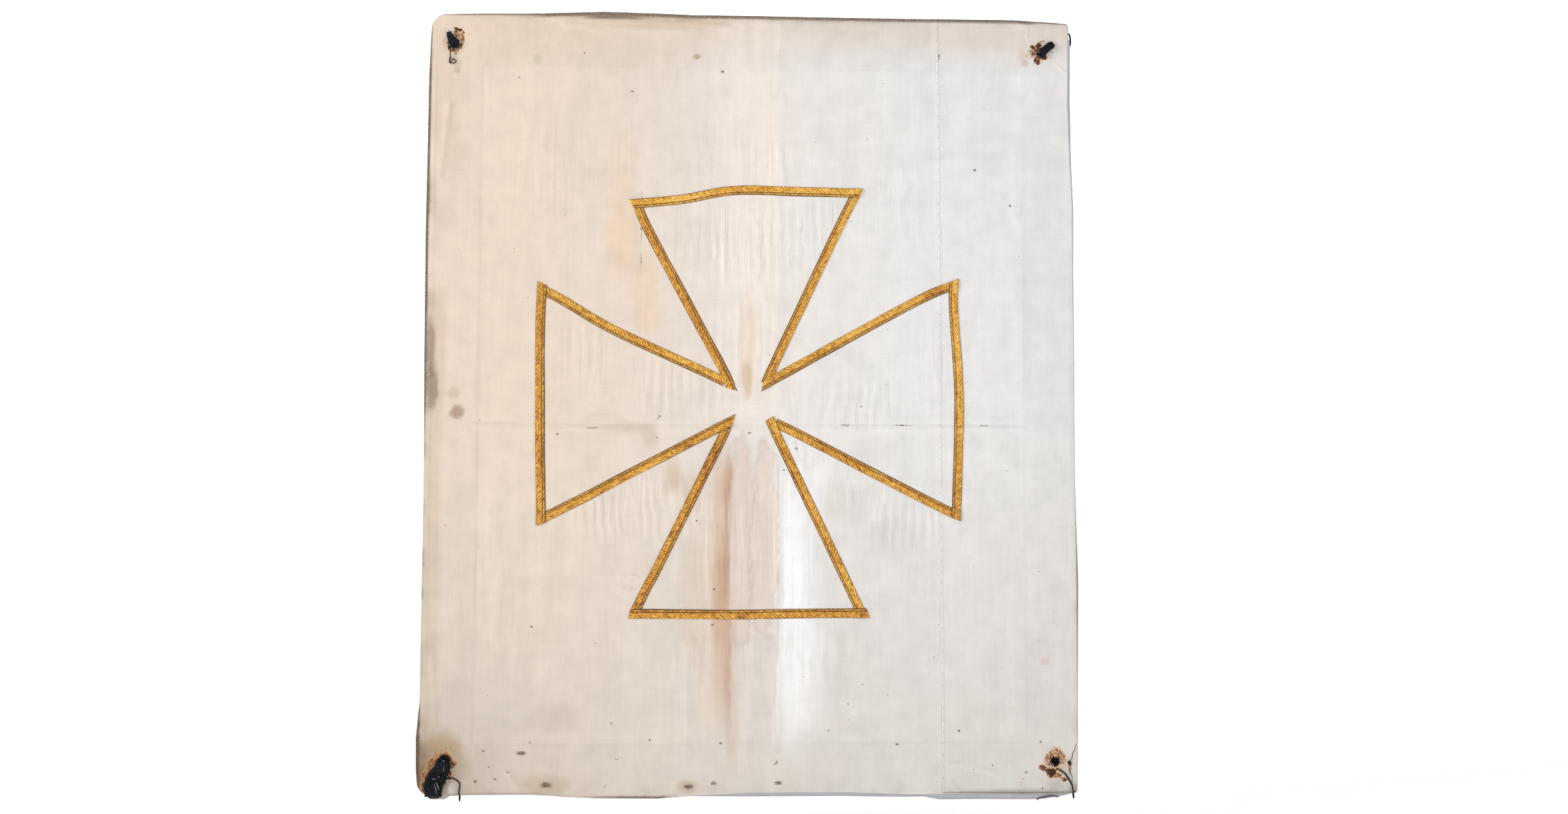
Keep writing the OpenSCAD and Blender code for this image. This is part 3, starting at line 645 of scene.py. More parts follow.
def lace_material():
    """Gold lace: U runs along it and V across it, in millimetres, with the outer edge at plus"""
    m = Shader("tarnished_gold_lace")
    uv = m.node("UVMap", uv_map="lace").outputs[0]
    part = m.node("SeparateXYZ", {0: uv})
    along, across = part.outputs[0], part.outputs[1]
    slanted = m.sum("ADD", along, m.sum("MULTIPLY", across, LACE_SLANT))
    rib = m.node("TexWave", {"Vector": m.node("CombineXYZ", {0: slanted}).outputs[0], "Scale": wave_scale(LACE_RIB),
                             "Distortion": 0.5, "Detail": 2.0, "Detail Scale": 2.0}, bands_direction="X").outputs["Fac"]
    uv3 = m.node("CombineXYZ", {0: slanted, 1: across}).outputs[0]
    thread = m.node("TexNoise", {"Vector": m.node("Mapping", {"Vector": uv3, "Scale": (1.9, 0.22, 1)}).outputs[0],
                                 "Scale": 1.0, "Detail": 3.0, "Roughness": 0.6}).outputs["Fac"]
    tarnish = m.node("TexNoise", {"Vector": m.node("Mapping", {"Vector": uv, "Scale": (0.07, 0.25, 1)}).outputs[0],
                                  "Scale": 1.0, "Detail": 4.0, "Roughness": 0.65}).outputs["Fac"]
    age = m.read("age").outputs["Fac"]
    # The tone mixes the threads' own mottling and tarnish with painted highlights: rib crests are painted lighter and
    # the pale top of the ramp is glint colour.
    tone_and_painted_highlight = m.sum("ADD", m.sum("MULTIPLY", rib, 0.2), m.range(thread, 0.3, 0.7, 0.05, 0.85, False))
    tone_and_painted_highlight = m.sum("ADD", tone_and_painted_highlight, m.range(m.grain((0.3, 1, 0.3), 3, 0.7), 0.3, 0.7, -0.2, 0.24, False))
    tone_and_painted_highlight = m.sum("SUBTRACT", tone_and_painted_highlight, m.sum("MULTIPLY", age, 0.24))
    tone_and_painted_highlight = m.sum("SUBTRACT", tone_and_painted_highlight, m.range(tarnish, 0.5, 0.8, 0.0, 0.3))
    colour = m.ramp(tone_and_painted_highlight, [(0.0, (112, 66, 14)), (0.25, (184, 120, 28)), (0.5, (230, 166, 54)),
                           (0.75, (250, 208, 104)), (1.0, (255, 240, 178))])
    # dark lines: outer edge, groove, and the scalloped inner edge
    lines = m.range(m.sum("ABSOLUTE", m.sum("ADD", across, LACE_GROOVE * LACE_W)), 0.2, 0.7, 0.85, 0.0)
    lines = m.sum("MAXIMUM", lines, m.range(across, 0.43 * LACE_W, 0.49 * LACE_W, 0.0, 0.9))
    lines = m.sum("MAXIMUM", lines, m.range(across, -0.4 * LACE_W, -0.49 * LACE_W, 0.0, 0.95))
    picot = m.node("TexWave", {"Vector": m.node("CombineXYZ", {0: along}).outputs[0], "Scale": wave_scale(LACE_PICOT),
                               "Distortion": 0.3}, bands_direction="X").outputs["Fac"]
    inner = m.range(across, -0.3 * LACE_W, -0.34 * LACE_W, 0.0, 1.0)
    lines = m.sum("MAXIMUM", lines, m.sum("MULTIPLY", inner, m.range(picot, 0.5, 0.95, 0.0, 0.55)))
    colour = m.mix(lines, colour, tuple(linear((78, 42, 14))))
    height = m.sum("ADD", thread, m.sum("MULTIPLY", rib, 0.4))
    return m.finish(Base_Color=colour, Metallic=0.25, Roughness=m.range(thread, 0.2, 0.8, 0.5, 0.34, False),
                    Normal=m.bump(height, 0.0003, 0.6), Specular_IOR_Level=0.6)


def yarn_material(name, low, high, rough, scale, sheen=0.3, specular=0.5, turn=0.0):
    """Twisted or ribbed thread with a fine streaky grain"""
    m = Shader(name)
    grain = m.grain(scale, 4, 0.65, turn=turn)
    wide = m.grain((0.25, 0.25, 0.25), 3, 0.6)
    base = m.ramp(m.sum("ADD", m.sum("MULTIPLY", grain, 0.7), m.sum("MULTIPLY", wide, 0.3)),
                  [(0.3, low), (0.72, high)])
    return m.finish(Base_Color=base, Roughness=m.range(grain, 0.2, 0.8, rough - 0.12, rough + 0.12, False),
                    Normal=m.bump(grain, 0.0004, 0.7), Sheen_Weight=sheen, Specular_IOR_Level=specular)


def rust_material():
    m = Shader("rusted_iron")
    big, fine = m.grain((0.25, 0.25, 0.25), 6, 0.7), m.grain((1.6, 1.6, 1.6), 5, 0.75)
    base = m.ramp(m.sum("ADD", m.sum("MULTIPLY", big, 0.6), m.sum("MULTIPLY", fine, 0.4)),
                  [(0.3, (34, 22, 18)), (0.48, (92, 44, 22)), (0.6, (140, 72, 30)), (0.75, (176, 108, 54))])
    return m.finish(Base_Color=base, Roughness=m.range(fine, 0.2, 0.8, 0.7, 0.95, False), Metallic=0.25,
                    Normal=m.bump(m.sum("ADD", big, fine), 0.0006, 0.9))


silk = silk_material()
canvas = plain_cloth("stiff_canvas", (196, 178, 142), (150, 128, 92), 0.9)
border_cloth = plain_cloth("border_strip_cloth", (206, 192, 162), (168, 148, 116), 0.7)
lining = lining_material()
gold_lace = lace_material()
gold_thread = yarn_material("old_gold_thread", (74, 44, 18), (150, 98, 36), 0.5, (2, 2, 2))
silk_thread = yarn_material("silk_thread", (118, 96, 72), (190, 168, 140), 0.55, (2, 2, 2))
black_tape = yarn_material("black_tape", (3, 4, 6), (25, 28, 36), 0.5, (1.1, 1.1, 0.35), 0.0, 0.16, 0.6)
black_thread = yarn_material("black_thread", (5, 6, 8), (34, 36, 42), 0.55, (2.4, 2.4, 0.8), 0.0, 0.14)
# Pale threads laid on the black tapes as painted glints.
painted_glint_thread = yarn_material("painted_glint_on_black_tape", (96, 100, 110), (214, 216, 222), 0.35, (2, 2, 0.6), 0.1, 0.8)
pale_fray = yarn_material("frayed_silk", (176, 166, 150), (240, 234, 222), 0.7, (2, 2, 2), 0.2, 0.3)
rusted_iron = rust_material()


# ---------------------------------------------------------------- colours laid on the silk

# Broad tints of the old silk: warm on the left and cool on the right, duller below, darkest at one corner
WARM, COOL = (224, 207, 190), (230, 228, 226)
DULL, TOP_WARM, CORNER = (208, 200, 190), (222, 200, 178), (158, 138, 120)
# Longer marks and painted highlights with their own edges: left, right, bottom, top, softness at left and right
# and at the ends, colour and strength
BANDS = [
    (-38, -21, -650, -404, 12, 1.2, 80, (186, 140, 104), 0.78),
    (-52, -30, -660, -420, 16, 12, 50, (226, 204, 182), 0.5), (-24, -14, -700, -560, 5, 3, 50, (214, 184, 158), 0.4),
    # The three near-white bands between x -33 and 66 are painted highlights along the vertical folds there.
    (-33, 24, -372, 40, 5, 4, 30, (243, 230, 220), 0.5), (25, 66, -670, -400, 1.6, 40, 90, (248, 248, 248), 0.88),
    (26, 60, -372, 20, 2, 20, 30, (238, 228, 222), 0.35), (-322, -300, -700, -250, 2, 8, 40, (190, 170, 144), 0.4)]
# Round and oval stains, with one painted highlight and one painted sheen among them: middle, half sizes, colour,
# strength, how soft the rim is, and how dark its tide line is
STAINS = [
    (-30, -545, 8, 50, (190, 146, 110), 0.35, 0.8, 0), (-24, -430, 6, 22, (196, 150, 112), 0.4, 0.6, 0),
    (-12, -490, 12.5, 98, (222, 200, 186), 0.6, 0.25, 0.12), (12, -486, 12.5, 94, (224, 203, 190), 0.6, 0.25, 0.12),
    (-6, -328, 5, 20, (202, 170, 126), 0.6, 0.8, 0), (-4, -290, 9, 46, (226, 202, 172), 0.4, 0.9, 0),
    (-101, -386, 8, 11, (196, 172, 140), 0.4, 1.2, 0), (-120, -378, 22, 6, (196, 176, 152), 0.4, 0.9, 0),
    (-77, -425, 8, 15, (196, 168, 134), 0.5, 1.2, 0), (-60, -440, 10, 20, (196, 172, 144), 0.4, 0.9, 0),
    (-57, -540, 14, 70, (206, 188, 168), 0.45, 0.9, 0), (88, -452, 24, 18, (206, 196, 186), 0.35, 1.3, 0),
    (140, -486, 26, 18, (206, 198, 190), 0.4, 0.9, 0), (-286, -363.5, 7, 6.5, (150, 120, 90), 0.65, 0.7, 0.1),
    (-290, -345, 6, 6, (190, 166, 138), 0.4, 0.7, 0), (-313, -300, 5, 26, (130, 98, 70), 0.55, 0.8, 0),
    (-311, -340, 6, 22, (112, 86, 62), 0.55, 0.8, 0), (280, -594, 10, 13, (214, 208, 198), 0.4, 0.4, 0.06),
    (286, -604, 4, 4, (212, 178, 170), 0.5, 0.6, 0), (270.5, -10.5, 3.4, 3.0, (206, 172, 160), 0.6, 0.8, 0.12),
    (268, -4, 5, 6, (222, 196, 180), 0.5, 0.8, 0), (-214, -14.5, 4, 4.5, (166, 160, 128), 0.35, 0.9, 0),
    (-57, -9, 3.6, 2.4, (166, 136, 100), 0.65, 0.8, 0), (-140, 29, 28, 2.2, (84, 64, 46), 0.65, 0.8, 0),
    (-60, -722, 9, 6, (176, 150, 120), 0.5, 0.8, 0), (-196, -720, 20, 9, (176, 152, 122), 0.45, 0.9, 0),
    (-292, -26, 3.5, 3, (160, 152, 146), 0.6, 0.7, 0), (-128, -190, 16, 40, (226, 196, 164), 0.55, 0.9, 0),
    (-104, -250, 14, 44, (228, 198, 164), 0.5, 0.9, 0), (-128, -120, 16, 30, (226, 200, 174), 0.35, 0.9, 0),
    (-190, -660, 30, 14, (190, 178, 166), 0.35, 0.9, 0), (-250, -640, 40, 30, (200, 190, 184), 0.25, 0.9, 0),
    (-311, -722, 10, 26, (84, 58, 36), 0.6, 0.9, 0), (-299, -698, 25, 24, (146, 116, 82), 0.5, 0.9, 0),
    (-292, -684, 13, 10, (176, 150, 108), 0.5, 0.8, 0), (297, -700, 12, 12, (222, 186, 132), 0.5, 0.7, 0),
    # The pale oval at (-284.5, -723.5) is partly the silk's own paler colour and partly a painted sheen on the lump.
    # The white oval at (42, -500) is a painted highlight on the fold there.
    (42, -500, 10, 60, (252, 252, 252), 0.4, 0.9, 0), (-284.5, -723.5, 4.5, 6, (206, 204, 200), 0.7, 0.5, 0),
    (-78, 26, 60, 8, (206, 176, 146), 0.35, 0.9, 0), (-300, -60, 16, 60, (214, 186, 162), 0.3, 0.9, 0),
    (262, -732, 60, 5, (120, 104, 88), 0.45, 0.9, 0), (-240, -732, 60, 5, (112, 92, 72), 0.5, 0.9, 0)]


def tint_of(x, z):
    wx, wz = x + 10 * noise(x, z, 60, 201), z + 14 * noise(x, z, 60, 202)
    colour = linear(COOL) + ease((170 - wx) / 400)[:, None] * (linear(WARM) - linear(COOL))
    for share, c in ((0.55 * ease((-330 - wz) / 380), DULL), (0.5 * ease((wz + 25) / 45), TOP_WARM),
                     (0.9 * np.exp(-np.hypot(wx + HALF_W, wz - BOTTOM) / 60), CORNER)):
        colour = colour + share[:, None] * (linear(c) - colour)
    for left, right, low, high, soft_l, soft_r, soft_end, c, strength in BANDS:
        bx = x + 2.5 * noise(x * 0.3, z, 50, 203) + 0.6 * noise(x, z, 8, 204)
        m = ease((bx - left) / soft_l + 0.5) * ease((right - bx) / soft_r + 0.5)
        m = m * ease((z - low) / soft_end + 0.5) * ease((high - z) / soft_end + 0.5)
        m = strength * m * (0.8 + 0.2 * noise(x, z * 0.2, 12, 205))
        colour += m[:, None] * (linear(c) - colour)
    for k, (cx, cz, rx, rz, c, strength, soft, tide) in enumerate(STAINS):
        d = np.hypot((x - cx) / rx, (z - cz) / rz) + 0.28 * rough_noise(x, z, max(6, rx), 370 + 4 * k)
        m = strength * ease((1 + soft * 0.5 - d) / soft)
        colour += m[:, None] * (linear(c) - colour)
        colour *= (1 - tide * np.exp(-(((d - 1) / 0.09) ** 2)))[:, None]
    inside = np.min([x + HALF_W, HALF_W - x, TOP - z, z - BOTTOM], axis=0)
    # The 52 mm border is made a little darker, with painted shade along the line of its inner step.
    border_tone_and_painted_light = 0.03 * ease((52 - inside) / 4) + 0.06 * np.exp(-(((inside - 50.5) / 1.0) ** 2))
    across = x - seam_line(z)
    # Painted shadow in the seam's groove and a painted highlight on its ridge.
    border_tone_and_painted_light = border_tone_and_painted_light + 0.07 * np.exp(-(((across + 0.2) / 0.55) ** 2)) - 0.05 * np.exp(-(((across - 1.4) / 1.4) ** 2))
    line = CREASE_Z + 1.2 * noise(x, 0 * x, 60, 31)
    # Painted shade along the sharp crease.
    border_tone_and_painted_light = border_tone_and_painted_light + 0.12 * np.exp(-abs(z - line) / 1.0) * ease((290 - abs(x)) / 40) * (0.6 + 0.4 * noise(x, z, 22, 206))
    return colour * (1 - border_tone_and_painted_light)[:, None]


def gather_of(x, z):
    """How strongly the lace draws the silk into fine upright pleats"""
    g = 0.06 + 0 * x
    for cx, cz, rx, rz, lean, pitch, height in PUCKERS:
        g = np.maximum(g, height / 1.8 * ease((1.1 - np.hypot((x - cx) / rx, (z - cz) / rz)) / 0.8))
    return g * (0.8 + 0.5 * noise(x, z, 40, 380))


def dirt_and_edge_shade_of(x, z):
    left, right, top, bottom = x + HALF_W, HALF_W - x, TOP - z, z - BOTTOM
    amount = 0.0
    for inside, wide, seed in ((left, 1.0, 1), (right, 0.5, 2), (top, 0.8, 3), (bottom, 0.9, 4)):
        patchy = 0.55 + 0.8 * rough_noise(x, z, 26, 220 + seed)
        amount = np.maximum(amount, 0.75 * wide * np.clip(patchy, 0.0, 1.3) * np.exp(-np.maximum(inside, 0) / 2.6))
        amount = np.maximum(amount, 0.36 * wide * np.clip(patchy, 0, 1.2) * np.exp(-np.maximum(inside, 0) / 14))
        # A thin dark line at every edge: dirt together with a painted contact shadow.
        amount = np.maximum(amount, (0.4 + 0.4 * wide) * np.exp(-np.maximum(inside - 0.3, 0) / 0.7))
    corner = 0.5 * np.exp(-np.hypot(x + HALF_W, z - BOTTOM) / 34) * (0.75 + 0.6 * rough_noise(x, z, 18, 230))
    corner = corner + 0.5 * np.exp(-np.hypot(x - HALF_W, z - BOTTOM) / 26) * (0.7 + 0.7 * rough_noise(x, z, 12, 231))
    return np.clip(amount + corner, 0, 1)


# Rust blotches round each eyelet: middle from the eyelet, half sizes, darkness
RUST = {
    TOP_LEFT: (0.28, [
        (1.5, -1, 7.5, 10, 0.5), (4.6, 14.2, 2.76, 1.84, 0.8), (8.3, 12.3, 1.61, 1.38, 0.63),
        (2.3, 11, 3.5, 6, 0.52), (8, 7.2, 3.2, 5.4, 0.54), (6.7, 0.2, 2.07, 2.42, 0.76),
        (9.2, -0.4, 1.38, 1.15, 0.48), (-9, 2.8, 4.6, 5.75, 0.3), (1.6, -6.5, 2.99, 6.32, 0.52),
        (1.4, -11, 2.3, 3.45, 0.3), (0, 0, 8.05, 8.05, 0.58)]),
    TOP_RIGHT: (0.28, [
        (-3.5, 0, 9, 9, 0.56), (-2.2, 7.9, 3.45, 2.3, 0.73), (-7.5, 5, 2.76, 1.61, 0.8),
        (2.4, 10.8, 3.45, 1.49, 0.48), (-5.5, 0, 4.83, 6.9, 0.38), (-8.8, -2.6, 1.61, 1.49, 0.6),
        (-2.2, -6.6, 3.91, 4.6, 0.6), (-5, -8.5, 1.84, 1.72, 0.74), (-1, -9.9, 1.84, 1.72, 0.7),
        (3, -5.3, 3.45, 3.45, 0.7), (8.3, -4, 5.75, 5.17, 0.3), (-12, -4, 4.6, 5.75, 0.3), (0, 0, 7.59, 7.59, 0.54),
        (-4, 10.5, 4.6, 2.76, 0.3)]),
    BOTTOM_LEFT: (0.3, [
        (-3, 6.5, 11, 5.5, 0.4), (1.6, 2.8, 7.36, 4.6, 0.83), (5.8, -12, 2.99, 4.6, 0.66), (8, -2, 3.45, 4.6, 0.68),
        (7, 0, 6.9, 8.05, 0.33), (0, 0, 9.2, 8.05, 0.68), (-9, -1, 8.05, 6.9, 0.54), (-17, -12, 4.6, 6.9, 0.48),
        (-20, -24, 3.45, 9.2, 0.58), (-12, -32, 13.8, 1.84, 0.73), (-14, -6, 4.6, 4.6, 0.5)]),
    BOTTOM_RIGHT: (0.3, [
        (0.3, 3.7, 11.5, 10.5, 0.5), (-3, 5.6, 1.61, 1.61, 0.64), (2.9, 6.9, 1.84, 1.61, 0.54),
        (6.8, 8.2, 1.84, 1.61, 0.52), (-11.5, -4.8, 3.91, 2.76, 0.68), (-3.7, -10.4, 5.29, 4.6, 0.8),
        (-7, -7.5, 4.6, 2.76, 0.7), (8, -16.6, 3.91, 2.99, 0.64), (2.9, -13, 4.6, 2.99, 0.54),
        (0, 0, 6.9, 6.9, 0.5), (14, -1.6, 2.3, 2.3, 0.68), (14, -7.5, 2.3, 5.75, 0.44),
        (-13.7, -26.4, 1.15, 1.15, 0.73), (-33, -20, 1.26, 4.6, 0.38), (-30, -14, 1.03, 2.3, 0.38)]),
}


def rust_of(x, z):
    rust = np.zeros(len(x))
    for k, ((ex, ez), (halo, blotches)) in enumerate(RUST.items()):
        d = np.hypot(x - ex, z - ez) * (1 + 0.3 * rough_noise(x, z, 11, 240 + k))
        rust = np.maximum(rust, halo * ease((18 - d) / 12))
        for bx, bz, rx, rz, dark in blotches:
            wx, wz = x + 1.8 * noise(x, z, 4.5, 250 + k), z + 1.8 * noise(x, z, 4.5, 260 + k)
            q = np.hypot((wx - ex - bx) / rx, (wz - ez - bz) / rz)
            rust = np.maximum(rust, dark * ease((1.5 - q) / 1.05))
    return rust


# ---------------------------------------------------------------- silk panels

EYELET_COLUMNS = [(-315, -272), (268, 315)]
EYELET_ROWS = [(-20, 20), (-722, -676)]
WRAP = 1.1


def silk_panel(name, left, right, seam_at_right, node):
    xs = stops(left, right, 2.3, 1.0, EYELET_COLUMNS + [(SEAM_X - 4, SEAM_X + 5)])
    zs = stops(BOTTOM + WRAP, TOP - WRAP, 2.3, 1.0, EYELET_ROWS + [(CREASE_Z - 5, CREASE_Z + 5)])
    x, z, faces, ring = grid(xs, zs, HOLE_R)
    edge_x, edge_z = x.copy(), z.copy()
    x, z = placed(x, z)
    y = SILK_Y - swell(x, z) - ripple(x, z) + crease(x, z)
    torn = ring >= 0
    y[torn] += 0.15 * noise(x[torn], z[torn], 2.5, 301)
    verts, skins = [np.stack([x, y, z], 1)], [list(map(tuple, faces))]
    source = [np.arange(len(x))]
    count = len(x)

    def skirt(chain, rows):
        """Joins rows of new points to a chain of old ones"""
        nonlocal count
        before = chain
        for row in rows:
            now = np.arange(count, count + len(chain))
            verts.append(row)
            source.append(np.array(chain))
            skins.append([(before[k], before[k + 1], now[k + 1], now[k]) for k in range(len(chain) - 1)])
            before, count = now, count + len(chain)

    def along(mask, order):
        found = np.nonzero(mask)[0]
        return found[np.argsort(order[found])]

    outer = left if seam_at_right else right
    seam = right if seam_at_right else left
    low = along(np.isclose(edge_z, zs[0]), -edge_x if seam_at_right else edge_x)
    side = along(np.isclose(edge_x, outer), edge_z)
    high = along(np.isclose(edge_z, zs[-1]), edge_x if seam_at_right else -edge_x)
    chain = np.concatenate([low, side[1:], high[1:]])
    p = np.stack([x[chain], z[chain]], 1)
    d = np.gradient(p, axis=0)
    d /= np.linalg.norm(d, axis=1)[:, None]
    n = np.stack([-d[:, 1], d[:, 0]], 1) * (1 if seam_at_right else -1)
    rows = []
    for turn in (30, 60, 90, 120, 150, 178):
        a = math.radians(turn)
        q = p + n * WRAP * math.sin(a)
        rows.append(np.stack([q[:, 0], y[chain] + (1 - math.cos(a)) * (TURN_Y - SILK_Y) / 2, q[:, 1]], 1))
    for inset in (4, 14, 28, 43):
        qx = np.clip(p[:, 0], -HALF_W + inset, HALF_W - inset)
        qz = np.clip(p[:, 1], BOTTOM + inset, TOP - inset)
        rows.append(np.stack([qx, TURN_Y - swell(qx, qz), qz], 1))
    skirt(list(chain), rows)
    chain = along(np.isclose(edge_x, seam), edge_z)
    inward = -1 if seam_at_right else 1
    rows = [np.stack([x[chain] + inward * dx, y[chain] + dy, z[chain]], 1)
            for dx, dy in ((-0.12, 0.12), (0.0, 0.26), (0.8, 0.31))]
    deep = np.stack([x[chain] + inward * 8, -0.66 - swell(x[chain] + inward * 8, z[chain]), z[chain]], 1)
    skirt(list(chain), rows + [deep])
    for k, (ex, ez) in enumerate(EYELETS):
        chain = np.nonzero(ring == k)[0]
        if len(chain):
            turn = np.arctan2(z[chain] - ez, x[chain] - ex)
            chain = chain[np.argsort(turn)]
            chain = np.append(chain, chain[0])
            q = np.stack([x[chain], z[chain]], 1) - (ex, ez)
            rows = [np.stack([ex + q[:, 0] * f, y[chain] + dy, ez + q[:, 1] * f], 1)
                    for f, dy in ((0.985, 0.14), (0.995, 0.3))]
            skirt(list(chain), rows)
    source = np.concatenate(source)
    obj = finish_mesh(name, np.vstack(verts), sum(skins, []), silk, slot="ivory_silk", replaces=[node])
    give(obj, "tint", tint_of(x, z)[source])
    give(obj, "dirt_and_edge_shade", dirt_and_edge_shade_of(x, z)[source])
    give(obj, "rust", rust_of(x, z)[source])
    give(obj, "gather", gather_of(x, z)[source])
    return obj


main_panel = silk_panel("silk_main_panel_v", -HALF_W + WRAP, SEAM_X - 0.1, True, "silk_main_panel")
side_panel = silk_panel("silk_side_panel_v", SEAM_X + 0.1, HALF_W - WRAP, False, "silk_side_panel")


# ---------------------------------------------------------------- layers behind the silk

coarse_x = stops(-HALF_W + RAW_IN, HALF_W - RAW_IN, 8, 1.6, EYELET_COLUMNS)
coarse_z = stops(BOTTOM + RAW_IN, TOP - RAW_IN, 8, 1.6, EYELET_ROWS)
canvas_sheet = slab("canvas_interlining_v", coarse_x, coarse_z, *CANVAS_Y, BARREL_R, canvas, "canvas",
                    ["canvas_interlining"])
for side, (x0, x1, z0, z1) in {
        "top": (-HALF_W + RAW_IN, HALF_W - RAW_IN, TOP - STRIP_W, TOP - RAW_IN),
        "bottom": (-HALF_W + RAW_IN, HALF_W - RAW_IN, BOTTOM + RAW_IN, BOTTOM + STRIP_W),
        "left": (-HALF_W + RAW_IN, -HALF_W + STRIP_W, BOTTOM + STRIP_W + 0.1, TOP - STRIP_W - 0.1),
        "right": (HALF_W - STRIP_W, HALF_W - RAW_IN, BOTTOM + STRIP_W + 0.1, TOP - STRIP_W - 0.1)}.items():
    strip = slab(f"border_strip_{side}_v", stops(x0, x1, 8, 1.6, EYELET_COLUMNS), stops(z0, z1, 8, 1.6, EYELET_ROWS),
                 *BORDER_Y, BARREL_R, border_cloth, "canvas", [f"border_strip_{side}"])

# How far the lining has slipped out past the silk
SLIP_RIGHT = [(30, -1), (22, -1), (12, 3), (-60, 3.6), (-120, 2.2), (-320, 0.6), (-520, 2), (-700, 1), (-732, -1)]
SLIP_TOP = [(-317, 0), (-260, 0), (-217, 2), (-127, 2), (-87, 0), (317, 0)]
SLIP_BOTTOM = [(-317, 0), (-311, 0.5), (-306, 4), (-292, 4.4), (-286, 0.5), (-200, 0), (-185, 1.8), (-60, 1.5), (0, 5),
               (100, 5), (165, 3.5), (180, 6.5), (284, 6), (309, 2), (317, 0)]


def slipped(x, z):
    px, pz = placed(x, z)
    px = px + profile(z, SLIP_RIGHT) * ease(1 - (HALF_W - x) / EDGE_REACH)
    pz = pz + profile(x, SLIP_TOP) * ease(1 - (TOP - z) / EDGE_REACH)
    pz = pz - profile(x, SLIP_BOTTOM) * ease(1 - (z - BOTTOM) / EDGE_REACH)
    return px, pz


lining_x = stops(-HALF_W + 1, HALF_W - 1, 4.5, 1.2, EYELET_COLUMNS)
lining_z = stops(BOTTOM + 1, TOP - 1, 4.5, 1.2, EYELET_ROWS)
lining_sheet = slab("back_lining_v", lining_x, lining_z, *LINING_Y, HOLE_R, lining, "lining", ["back_lining"], slipped)
co = np.zeros(len(lining_sheet.data.vertices) * 3)
lining_sheet.data.vertices.foreach_get("co", co)
co = co.reshape(-1, 3) / MM
give(lining_sheet, "rust", 0.85 * rust_of(co[:, 0], co[:, 2]))
give(lining_sheet, "dirt_and_edge_shade", 0.6 * dirt_and_edge_shade_of(co[:, 0], co[:, 2]))


# ---------------------------------------------------------------- lace

SECTION = np.array([0.5, 0.485, 0.45, 0.42, 0.36, 0.28, 0.2, 0.12, 0.04, -0.04, -0.12, -0.18, -0.205, -0.23, -0.255,
                    -0.3, -0.36, -0.42, -0.47, -0.5])
LACE_AGE = {"top_left_leg": 0.85, "left_bar": 0.8, "left_upper_leg": 0.6, "left_lower_leg": 0.7, "bottom_left_leg": 1.0,
            "bottom_bar": 0.85, "right_lower_leg": 0.75, "right_bar": 0.45, "bottom_right_leg": 0.55,
            "top_bar": 0.25, "top_right_leg": 0.4, "right_upper_leg": 0.4}


def lace_surface(name):
    """Rows across the lace: where each point lies, how far along and across it is, and its height"""
    line = np.array(curved(LACE_LINES[name], 0.45))
    _, slants, under = LACES[name]
    seed = 400 + 10 * list(LACES).index(name)
    t = np.gradient(line, axis=0)
    t /= np.linalg.norm(t, axis=1)[:, None]
    run = np.concatenate([[0], np.cumsum(np.linalg.norm(np.diff(line, axis=0), axis=1))])
    s = run[:, None] + 0 * SECTION
    u = LACE_W * SECTION * (1 + 0.03 * noise(s, 0 * s, 22, seed))
    inner = SECTION < -0.4
    u = u - inner * 0.38 * np.abs(np.sin(math.pi * s / LACE_PICOT)) * (-SECTION - 0.4) / 0.1
    u = u + 0.35 * noise(s, 0 * s, 48, seed + 1)
    shift = slants[0] * u * ease(1 - s / 9) + slants[1] * u * ease(1 - (run[-1] - s) / 9)
    x = line[:, :1] + t[:, :1] * shift - t[:, 1:] * u
    z = line[:, 1:] + t[:, 1:] * shift + t[:, :1] * u
    rib = 0.5 + 0.5 * np.cos(2 * math.pi * (s + LACE_SLANT * u) / LACE_RIB + 0.9 * noise(s, u, 7, seed + 2))
    wide = SECTION > -0.2
    body = ease((SECTION + 0.2) / 0.05) * ease((0.47 - SECTION) / 0.05)
    h = 0.42 + body * (0.26 + 0.16 * rib**1.5 * wide)
    h = h + 0.26 * np.exp(-(((SECTION - 0.48) / 0.02) ** 2))
    h = h + 0.3 * np.exp(-(((SECTION + 0.36) / 0.07) ** 2)) * (0.75 + 0.25 * np.cos(2 * math.pi * s / LACE_PICOT))
    h = h - 0.12 * np.exp(-(((SECTION + LACE_GROOVE) / 0.03) ** 2))
    h = h + 0.05 * noise(s * 2, u, 1.2, seed + 3)
    lift = np.zeros(x.shape)
    for other in under:
        d = to_line(x, z, LACE_LINES[other])
        lift = np.maximum(lift, 0.75 * ease((LACE_W / 2 + 3.2 - d) / 3.2))
    return x, z, s + shift, u, h, lift


def lace_rest(x, z):
    """Depth of the silk under the lace"""
    return SILK_Y - swell(x, z) - ripple(x, z)


